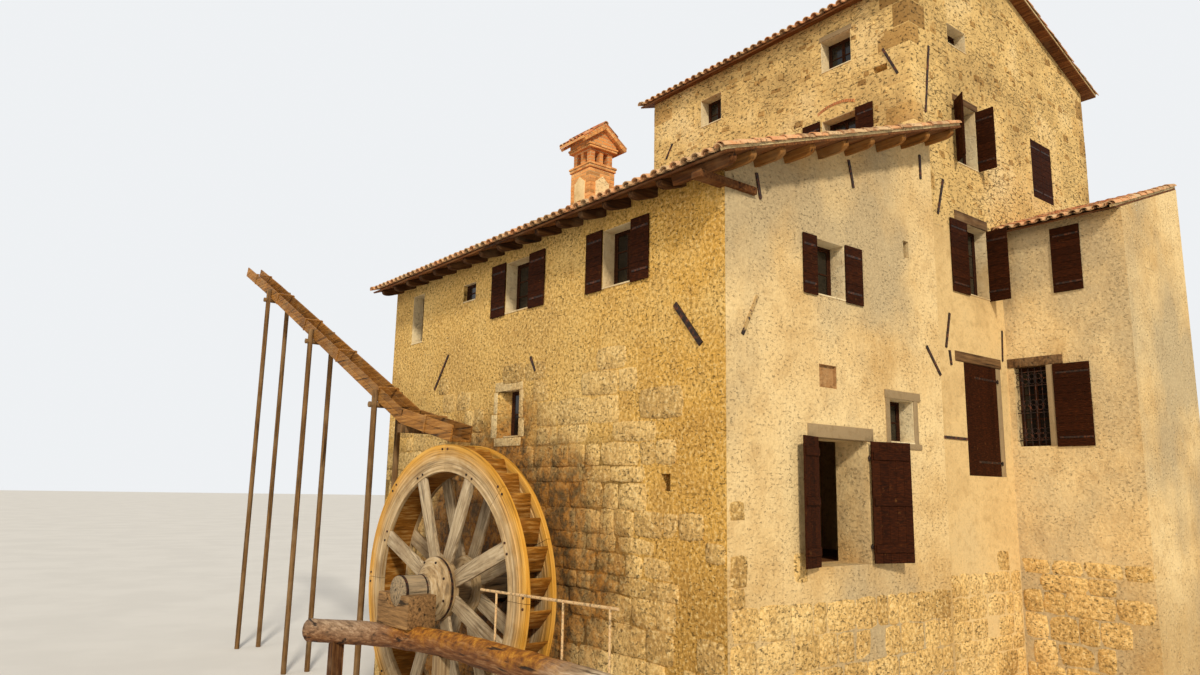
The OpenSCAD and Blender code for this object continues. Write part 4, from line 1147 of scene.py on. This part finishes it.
class MILL_OT_roof_tiles(bpy.types.Operator):
    """Lays the barrel tiles of every roof"""

    bl_idname = "mill.roof_tiles"
    bl_label = "Roof tiles"

    def execute(self, context):
        cover = pattern_tile(0.086, 0.072, TILE, 0.84, 6)
        pan = pattern_tile(0.078, 0.092, TILE, 0.5, 5)
        ridge = pattern_tile(0.125, 0.11, 0.45, 0.9, 8)

        def mill_reach(y):
            end = 5.50 if y < 0.29 else 5.40 if y < 7.57 else 6.05
            return (end + 0.57) / cos(PITCH)

        def house_reach(y):
            return HALF_HOUSE / cos(PITCH) - 0.06

        def wing_reach(y):
            return 3.24 / cos(PITCH)

        stack = [(0.36, 0.88, 3.62, 4.14)]
        roofs = [
            ("mill_tiles", [MILL_SLOPE], MILL_VERGES, mill_reach, stack, 41, "mill_roof_tiles"),
            ("house_tiles", [HOUSE_SLOPE, FAR_SLOPE], HOUSE_VERGES, house_reach, [], 42, "house_roof_tiles"),
            ("wing_tiles", [WING_SLOPE], WING_VERGES, wing_reach, [], 44, "wing_roof"),
        ]
        beds = []
        for name, slopes, verges, reach, holes, seed, node in roofs:
            laid = {kind: [] for kind in TILE_KINDS}
            for i, slope in enumerate(slopes):
                tiled(laid, slope, verges, reach, holes, seed + i)
                y = verges[0]
                beds.append(span((0, y, 0.039), (reach(y) - 0.01, y + 0.09, 0.085), slope))
            for kind, finish in TILE_KINDS.items():
                tiles = copies(name + "_" + kind, [pan if kind.endswith("pans") else cover], laid[kind], 51)
                settle(tiles, finish, [node], angle=60)
        top = HOUSE_EAVE + HALF_HOUSE * tan(PITCH) + 0.115
        show, last = 0.37, 7.5
        caps = []
        y = HOUSE_VERGES[0]
        while y < last:
            caps.append(moved(HOUSE_RIDGE_X, y, top) @ turned(radians(90), "Z") @ turned(radians(1.5), "Y"))
            y += show
        settle(copies("ridge_tiles", [ridge], caps, 55), "clay_tiles", ["house_ridge"], angle=60)
        boxes("verge_mortar", beds, 0.004, "pale_stone", 56, slot="plaster")
        discard(cover, pan, ridge)
        return {"FINISHED"}


class MILL_OT_roof_timbers(bpy.types.Operator):
    """Models the roof boards, rafters and verge beams"""

    bl_idname = "mill.roof_timbers"
    bl_label = "Roof timbers"

    def execute(self, context):
        width = sizes().board_width
        rng = random.Random(61)
        gap = 0.002

        def boarded(slope, end, pieces, top):
            places = []
            x = 0.0
            while x < end - 0.01:
                own = min(width * rng.uniform(0.85, 1.15), end - x)
                for y0, y1 in pieces(x + own / 2):
                    high = top - rng.uniform(0, 0.004)
                    places.append(span((x + gap, y0, 0.001), (x + own - gap, y1, high), slope))
                x += own
            return places

        def mill_pieces(x):
            across = x * cos(PITCH) + MILL_VERGES[0]
            if across < 5.35:
                return [(MILL_VERGES[0], 4.9), (4.905, MILL_VERGES[1])]
            if across < 5.51:
                return [(MILL_VERGES[0], 0.285), (7.575, MILL_VERGES[1])]
            return [(7.575, MILL_VERGES[1])]

        roofs = [
            ("mill_boards", [MILL_SLOPE], 7.03, mill_pieces, 0.038, 62, "mill_roof_boards"),
            ("house_boards", [HOUSE_SLOPE, FAR_SLOPE], 4.045 / cos(PITCH), lambda x: [HOUSE_VERGES], 0.038, 63,
                "house_roof_boards"),
            ("wing_boards", [WING_SLOPE], 3.43, lambda x: [(-1.995, 0.285)], 0.04, 64, "wing_roof"),
        ]
        for name, slopes, end, pieces, top, seed, node in roofs:
            places = [place for slope in slopes for place in boarded(slope, end, pieces, top)]
            boxes(name, places, 0.003, "roof_boards", seed, [node])
        worn("mill_rafters", "rafters_worn", 0.008, "timber_x")
        worn("verge_lookouts", "lookouts_worn", 0.008, "verge_timber")
        worn("corner_beams", "corner_beams_worn", 0.008, "timber_y")
        return {"FINISHED"}


class MILL_OT_chimney(bpy.types.Operator):
    """Models the chimney's bricks, cornice and small tiled roof"""

    bl_idname = "mill.chimney"
    bl_label = "Chimney"

    def execute(self, context):
        rng = random.Random(71)
        joint, half, thick, course = 0.004, 0.284, 0.115, 0.066
        foot, cornice = 9.0, 9.99
        sides = [moved(CHIMNEY_X, CHIMNEY_Y, 0) @ turned(radians(90 * side), "Z") for side in range(4)]
        bricks = []
        z, odd = foot, 0
        while z < cornice:
            cuts = [-half, -0.05, 0.19, half] if odd else [-half, -0.19, 0.05, half]
            for side, place in enumerate(sides):
                for a, b in zip(cuts[:-1], cuts[1:]):
                    low, high = a + joint * (a > -half), b - joint * (b < half)
                    if side % 2 == odd:
                        low, high = max(low, -half + thick), min(high, half - thick)
                    if high - low >= 0.02:
                        out = rng.uniform(-0.002, 0.003)
                        bricks.append(span((low, -half - out, z), (high, -half + thick, z + course - 0.008), place))
            z += course
            odd = 1 - odd
        count = 5
        for level, edge in ((10.002, 0.305), (10.055, 0.318), (10.372, 0.318), (10.412, 0.332)):
            long = 2 * edge / count
            for place in sides:
                for i in range(count):
                    low, high = -edge + i * long + joint, -edge + (i + 1) * long - joint
                    bricks.append(span((low, -edge, level), (high, -edge + 0.11, level + 0.036), place))
        boxes("chimney_bricks", bricks, 0.005, "single_bricks", 72)
        raking, tiles = [], []
        for sign in (-1, 1):
            slope = scaled(sign, 1, 1) @ turned(CHIMNEY_PITCH, "Y")
            for y in (-0.375, 0.285):
                for i in range(7):
                    x = 0.02 + i * 0.083
                    place = moved(CHIMNEY_X, CHIMNEY_Y, CHIMNEY_TOP) @ slope
                    raking.append(span((x, y, -0.055), (x + 0.078, y + 0.09, -0.004), place))
            for i in range(7):
                for x, lift in ((0.61, 0.0), (0.34, 0.014)):
                    place = moved(CHIMNEY_X, 0, CHIMNEY_TOP + 0.042) @ slope
                    tiles.append(place @ moved(x, CHIMNEY_Y - 0.32 + i * 0.107, lift) @ turned(pi, "Z"))
        boxes("raking_bricks", raking, 0.004, "single_bricks", 73)
        cover = pattern_tile(0.055, 0.045, 0.3, 0.8, 5)
        for i in range(3):
            place = moved(CHIMNEY_X, CHIMNEY_Y - 0.38 + i * 0.24, CHIMNEY_TOP + 0.042)
            tiles.append(place @ turned(radians(90), "Z"))
        settle(copies("chimney_tiles", [cover], tiles, 74), "clay_tiles", angle=60)
        discard(cover)
        return {"FINISHED"}


# Windows, shutters and doors


class MILL_OT_windows(bpy.types.Operator):
    """Models the casements, their glass and the pale reveals"""

    bl_idname = "mill.windows"
    bl_label = "Windows"

    def execute(self, context):
        wide, sash, skin, gap = 0.045, 0.036, 0.007, 0.003
        bars, panes, linings = [], [], []
        for wall, a, b, low, high, depth, leaves in WINDOWS:

            def bar(u0, u1, z0, z1, d0=0.0, d1=0.05):
                bars.append(wall_span(wall, (u0, depth + d0, z0), (u1, depth + d1, z1)))

            bar(a, a + wide, low, high)
            bar(b - wide, b, low, high)
            bar(a + wide, b - wide, low, low + wide)
            bar(a + wide, b - wide, high - wide, high)
            foot, head = low + wide, high - wide
            inner = (b - a - 2 * wide) / leaves
            for i in range(leaves):
                u0, u1 = a + wide + i * inner, a + wide + (i + 1) * inner
                for s0, s1 in ((u0 + gap, u0 + sash), (u1 - sash, u1 - gap)):
                    bar(s0, s1, foot + gap, head - gap, 0.008, 0.04)
                rows = 3 if high - low > 0.9 else 2
                for r in range(rows + 1):
                    z = foot + 0.016 + (head - foot - 0.032) * r / rows
                    bar(u0 + sash, u1 - sash, z - 0.012, z + 0.012, 0.01, 0.038)
                panes.append(wall_span(wall, (u0 + 0.02, depth + 0.022, foot), (u1 - 0.02, depth + 0.026, head)))
            if wall != WING_WALL:
                d0 = 0.001
                if depth > 0.2:
                    linings.append(wall_span(wall, (a, d0, low), (a + skin, depth, high)))
                    linings.append(wall_span(wall, (b - skin, d0, low), (b, depth, high)))
                linings.append(wall_span(wall, (a + skin, d0, high - skin), (b - skin, depth, high)))
                linings.append(wall_span(wall, (a, -0.012, low), (b, depth, low + 0.025)))
        boxes("casements", bars, 0.003, "casement_wood", 81)
        boxes("window_panes", panes, 0.0008, "window_glass", 82)
        boxes("reveals", linings, 0.002, "reveal_plaster", 83)
        return {"FINISHED"}


def shutter_leaf(thin, shown, a, b, low, high, straps, ends, place=None):
    """Boards, battens and straps of a shutter.

    Thin is the axis of its thickness, shown the side that shows, straps how far the two straps are
    from its bottom and top, and ends how far they stop short of its sides.
    """

    def piece(d0, d1, u0, u1, z0, z1):
        corners = [(d0, u0, z0), (d1, u1, z1)]
        return span(*(corner if thin == 0 else (corner[1], corner[0], corner[2]) for corner in corners), place)

    count = max(3, round((high - low) / sizes().shutter_board))
    step = (high - low) / count
    split, back = shown + 0.6 * LEAF_T, shown + LEAF_T
    wood = [piece(shown, split, a, b, low + i * step + HALF_GAP, low + (i + 1) * step - HALF_GAP)
        for i in range(count)]
    for share in (0.04, 0.8):
        u = a + (b - a) * share
        wood.append(piece(split, back, u, u + (b - a) * 0.16, low + 0.02, high - 0.02))
    irons = [piece(shown - 0.006, shown, a + ends[0], b - ends[1], z - 0.018, z + 0.018)
        for z in (low + straps[0], high - straps[1])]
    return wood, irons


class MILL_OT_shutters(bpy.types.Operator):
    """Models the boarded shutter leaves and their strap hinges"""

    bl_idname = "mill.shutters"
    bl_label = "Shutters"

    def execute(self, context):
        flat = [
            (0, 0.0, 4.40, 4.90, 7.54, 8.58), (0, 0.0, 5.72, 6.22, 7.54, 8.58), (0, 0.0, 1.58, 2.01, 7.51, 8.54),
            (0, 0.0, 2.74, 3.17, 7.51, 8.54), (0, 5.405, 1.13, 1.53, 11.05, 11.93),
            (0, 5.405, 2.39, 2.835, 11.05, 11.93), (0, 8.4, -1.24, -0.58, 5.28, 6.846),
            (0, 8.4, -1.255, -0.715, 8.22, 9.5), (1, 0.0, 1.67, 2.0, 7.28, 8.22), (1, 0.0, 2.715, 3.16, 7.28, 8.22),
            (1, 0.29, 6.47, 7.08, 8.13, 9.576), (1, 0.33, 10.10, 10.582, 10.85, 12.20),
            (1, 0.33, 10.588, 11.07, 10.85, 12.20),
        ]
        leaves = [shutter_leaf(thin, face - LEAF_T, *box, (0.17, 0.17), (0.01, 0.05)) for thin, face, *box in flat]
        for box in ((7.86, -0.13, 0.29, 8.13, 9.576), (7.72, -0.09, 0.29, 10.80, 12.096)):
            leaves.append(shutter_leaf(0, *box, (0.2, 0.2), (0.03, 0.0)))
        ajar = moved(6.884, 0.29, 0) @ turned(radians(50), "Z")
        leaves.append(shutter_leaf(1, -LEAF_T, -0.395, -0.004, 10.80, 12.096, (0.2, 0.196), (0.035, 0.006), ajar))
        wood = [place for leaf in leaves for place in leaf[0]]
        irons = [place for leaf in leaves for place in leaf[1]]
        boxes("shutter_leaves", wood, 0.003, "shutter_paint", 91, ["shutters"])
        boxes("shutter_straps", irons, 0.0015, "rusty_iron", 92)
        return {"FINISHED"}


def door_place(x, face, side, swing):
    """The frame of a door's hinge line: +X towards its leaf and +Y into the wall when closed."""
    return moved(x, face - 0.025, 0) @ scaled(side, 1, 1) @ turned(radians(-swing), "Z")


class MILL_OT_doors(bpy.types.Operator):
    """Models the three door leaves with ledges, nails and strap hinges"""

    bl_idname = "mill.doors"
    bl_label = "Doors"

    def execute(self, context):
        doors = [
            ("yard_left", "yard_leaf_left", "yard_door_left", door_place(1.85, 0, 1, 165), 0.5, 3.288, 5.132),
            ("yard_right", "yard_leaf_right", "yard_door_right", door_place(3.16, 0, -1, 165), 0.778, 3.288, 5.132),
            ("house", "house_leaf", "house_door", door_place(7.92, 0.29, -1, 0), 1.184, 4.708, 6.792),
        ]
        start, back = 0.008, 0.0252
        for name, body, node, place, width, low, high in doors:
            count = max(3, round(width / 0.15))
            step = width / count
            boards = []
            for i in range(count):
                a, b = start + i * step + HALF_GAP, start + (i + 1) * step - HALF_GAP
                boards.append(span((a, 0.025, low), (b, 0.053, high), place))
            for z in (low + 0.16, (low + high) / 2 - 0.06, high - 0.28):
                boards.append(span((0.03, 0.053, z), (width - 0.015, 0.075, z + 0.12), place))
            hinges = (low + 0.252, high - 0.252)
            irons = []
            for z in hinges:
                irons.append(span((start, 0.019, z - 0.02), (start + width * 0.7, back, z + 0.02), place))
                irons.append(span((0.006, 0.012, z - 0.02), (0.02, back, z + 0.02), place))
                for k in range(5):
                    u = 0.06 + k * width * 0.14
                    irons.append(span((u - 0.008, 0.015, z - 0.008), (u + 0.008, 0.0195, z + 0.008), place))
            boxes("door_" + name, boards, 0.003, "shutter_paint", 95, [node], body)
            boxes("door_" + name + "_straps", irons, 0.001, "rusty_iron", 96, body=body)
            eye = collar(0.0095, 0.016, -0.02, 0.02, 16)
            rings = copies("door_" + name + "_eyes", [eye], [place @ moved(0, 0, z) for z in hinges], 97)
            discard(eye)
            settle(rings, "rusty_iron", body=body)
        return {"FINISHED"}


class MILL_OT_grille(bpy.types.Operator):
    """Models the scrolls and rails of the wing's window grille"""

    bl_idname = "mill.grille"
    bl_label = "Window grille"

    def execute(self, context):
        rails = [span((8.452, -0.455, z - 0.008), (8.468, 0.17, z + 0.008)) for z in (5.42, 5.95, 6.48, 6.75)]
        boxes("grille_rails", rails, 0.002, "rusty_iron", 101)
        pick()
        bpy.ops.mesh.primitive_torus_add(major_radius=0.05, minor_radius=0.006, major_segments=20, minor_segments=6)
        scroll = context.object
        places = [moved(8.46, -0.455 + 0.125 * (i + 0.5), z) @ turned(radians(90), "Y")
            for i in range(5) for z in (5.50, 5.60, 6.05, 6.15, 6.56, 6.66)]
        scrolls = copies("grille_scrolls", [scroll], places, 102)
        discard(scroll)
        settle(scrolls, "rusty_iron")
        return {"FINISHED"}


# Wheel, log and flume


def on_wheel(radius, degrees, height):
    """A place on the wheel's outer side."""
    angle = radians(degrees)
    return WHEEL_PLACE @ moved(radius * cos(angle), radius * sin(angle), height)


class MILL_OT_wheel(bpy.types.Operator):
    """Models the wheel's felloes, spokes, buckets, hubs, shaft and irons"""

    bl_idname = "mill.wheel"
    bl_label = "Water wheel"

    def execute(self, context):
        # The outline runs from the inner edge round the back to the front, which has two grooves
        outline = [
            (RIM_IN, -0.074), (RIM_IN + 0.006, -RIM_T), (RIM_OUT - 0.006, -RIM_T), (RIM_OUT, -0.074),
            (RIM_OUT, -0.006), (RIM_OUT - 0.006, 0), (2.30, 0), (2.292, -0.009), (2.255, -0.009), (2.247, 0),
            (2.09, 0), (2.082, -0.008), (2.05, -0.008), (2.042, 0), (RIM_IN + 0.006, 0), (RIM_IN, -0.006),
        ]
        felloe = ringed("felloe", outline, radians(44.8), 12)
        places = [WHEEL_PLACE @ moved(0, 0, depth) @ turned(radians(45 * i + first), "Z")
            for depth, first in ((0.0, 0), (RIM_T - WHEEL_W, 22.5)) for i in range(8)]
        settle(copies("felloes", [felloe], places, 111), "wheel_timber", ["wheel_rings"], "wheel")
        discard(felloe)
        worn("wheel_spokes", "spokes_worn", 0.008, "spoke_timber", "wheel")
        worn("wheel_buckets", "buckets_worn", 0.003, "bucket_timber", "wheel", segments=1)
        worn("wheel_hubs", "hubs_worn", 0.01, "wheel_timber", "wheel", 40)
        worn("wheel_shaft", "shaft_worn", 0.012, "shaft_timber", "wheel", 40)
        parts = []
        for radius, low, high in ((0.522, 0.03, 0.075), (0.253, 0.70, 0.745), (0.253, 0.335, 0.36)):
            band = collar(radius - 0.012, radius, low, high, 48)
            parts.append(copies("hoop", [band], [WHEEL_PLACE], 112))
            discard(band)
        pick(*parts)
        bpy.ops.object.join()
        hoops = context.object
        hoops.name = "wheel_hoops"
        settle(hoops, "rusty_iron", body="wheel")
        pick()
        bpy.ops.mesh.primitive_cylinder_add(vertices=6, radius=0.022, depth=0.02)
        bolt = context.object
        bevel(bolt, 0.003)
        places = []
        for i in range(8):
            joint = 45 * i
            places += [on_wheel(RIM_IN + 0.07, joint + 22.5 + offset, 0.006) for offset in (2.5, -2.5)]
            places += [on_wheel(RIM_OUT - 0.08, joint + offset, 0.006) for offset in (2.0, -2.0)]
            places += [on_wheel(0.40, joint + 22.5 - 4, 0.165), on_wheel(0.46, joint + 22.5 + 4, 0.165)]
        bolts = copies("wheel_bolts", [bolt], places, 113)
        discard(bolt)
        settle(bolts, "rusty_iron", body="wheel")
        return {"FINISHED"}


class MILL_OT_log(bpy.types.Operator):
    """Models the log beam, its posts and the shaft's bearings"""

    bl_idname = "mill.log"
    bl_label = "Log beam and bearings"

    def execute(self, context):
        worn("log_beam", "log_worn", 0, "log_bark", angle=50, weather=[(0.03, 0.35), (0.008, 0.06)], cuts=3)
        worn("beam_posts", "posts_worn", 0.012, "post_timber")
        worn("shaft_bearings", "bearings_worn", 0.014, "bearing_timber")
        return {"FINISHED"}


class MILL_OT_flume(bpy.types.Operator):
    """Models the flume's boards, ties and its trestles"""

    bl_idname = "mill.flume"
    bl_label = "Flume"

    def execute(self, context):
        half, t, tall, gap, tie = 0.17, 0.04, 0.30, 0.002, 0.014
        boards, ties = [], []
        for (y0, z0), (y1, z1) in zip(FLUME_LINE[:-1], FLUME_LINE[1:]):
            run = hypot(y1 - y0, z1 - z0)
            lean = atan2(z1 - z0, y1 - y0)
            place = moved(FLUME_X, y0, z0) @ turned(lean, "X")
            high = tall * cos(lean)
            seam = high * 0.52
            count = max(1, round(run / 3.2))
            for i in range(count):
                a, b = run * i / count + gap, run * (i + 1) / count - gap
                boards.append(span((-half, a, gap), (-gap, b, t), place))
                boards.append(span((gap, a, gap), (half, b, t), place))
                for x in (-half - t, half):
                    boards.append(span((x, a, 0.0), (x + t, b, seam), place))
                    boards.append(span((x + 0.003, a, seam + 0.003), (x + t - 0.003, b, high), place))
            pieces = max(1, round(run / 2.4))
            for i in range(pieces):
                y = run * (i + 0.5) / pieces
                over = half + t + 0.012
                ties.append(span((-over, y - 0.035, high), (over, y + 0.035, high + 0.03), place))
                for x in (-half - t - tie, half + t):
                    ties.append(span((x, y - 0.03, -0.01), (x + tie, y + 0.03, high), place))
        boxes("flume_boards", boards, 0.005, "flume_boards", 121, ["flume"])
        boxes("flume_ties", ties, 0.003, "flume_boards", 122)
        worn("flume_supports", "supports_worn", 0.008, "trestle_timber", angle=40, segments=1)
        return {"FINISHED"}


# Panel and registration

STEPS = [
    MILL_OT_stage, MILL_OT_node_finishes, MILL_OT_block_stones, MILL_OT_rubble, MILL_OT_trim, MILL_OT_roof_tiles,
    MILL_OT_roof_timbers, MILL_OT_chimney, MILL_OT_windows, MILL_OT_shutters, MILL_OT_doors, MILL_OT_grille,
    MILL_OT_wheel, MILL_OT_log, MILL_OT_flume,
]


class MILL_PT_panel(bpy.types.Panel):
    bl_label = "Watermill"
    bl_idname = "MILL_PT_panel"
    bl_space_type = "VIEW_3D"
    bl_region_type = "UI"
    bl_category = "Watermill"

    def draw(self, context):
        column = self.layout.column(align=True)
        for group in (context.scene.mill_sizes, context.scene.mill_colours):
            for name in group.__annotations__:
                column.prop(group, name)
            column.separator()
        for step in STEPS:
            column.operator(step.bl_idname)


CLASSES = [MillSizes, MillColours, *STEPS, MILL_PT_panel]


def register():
    for cls in CLASSES:
        bpy.utils.register_class(cls)
    bpy.types.Scene.mill_sizes = bpy.props.PointerProperty(type=MillSizes)
    bpy.types.Scene.mill_colours = bpy.props.PointerProperty(type=MillColours)


def unregister():
    del bpy.types.Scene.mill_colours
    del bpy.types.Scene.mill_sizes
    for cls in reversed(CLASSES):
        bpy.utils.unregister_class(cls)


def main():
    register()
    for step in STEPS:
        group, name = step.bl_idname.split(".")
        getattr(getattr(bpy.ops, group), name)()


if __name__ == "__main__":
    main()
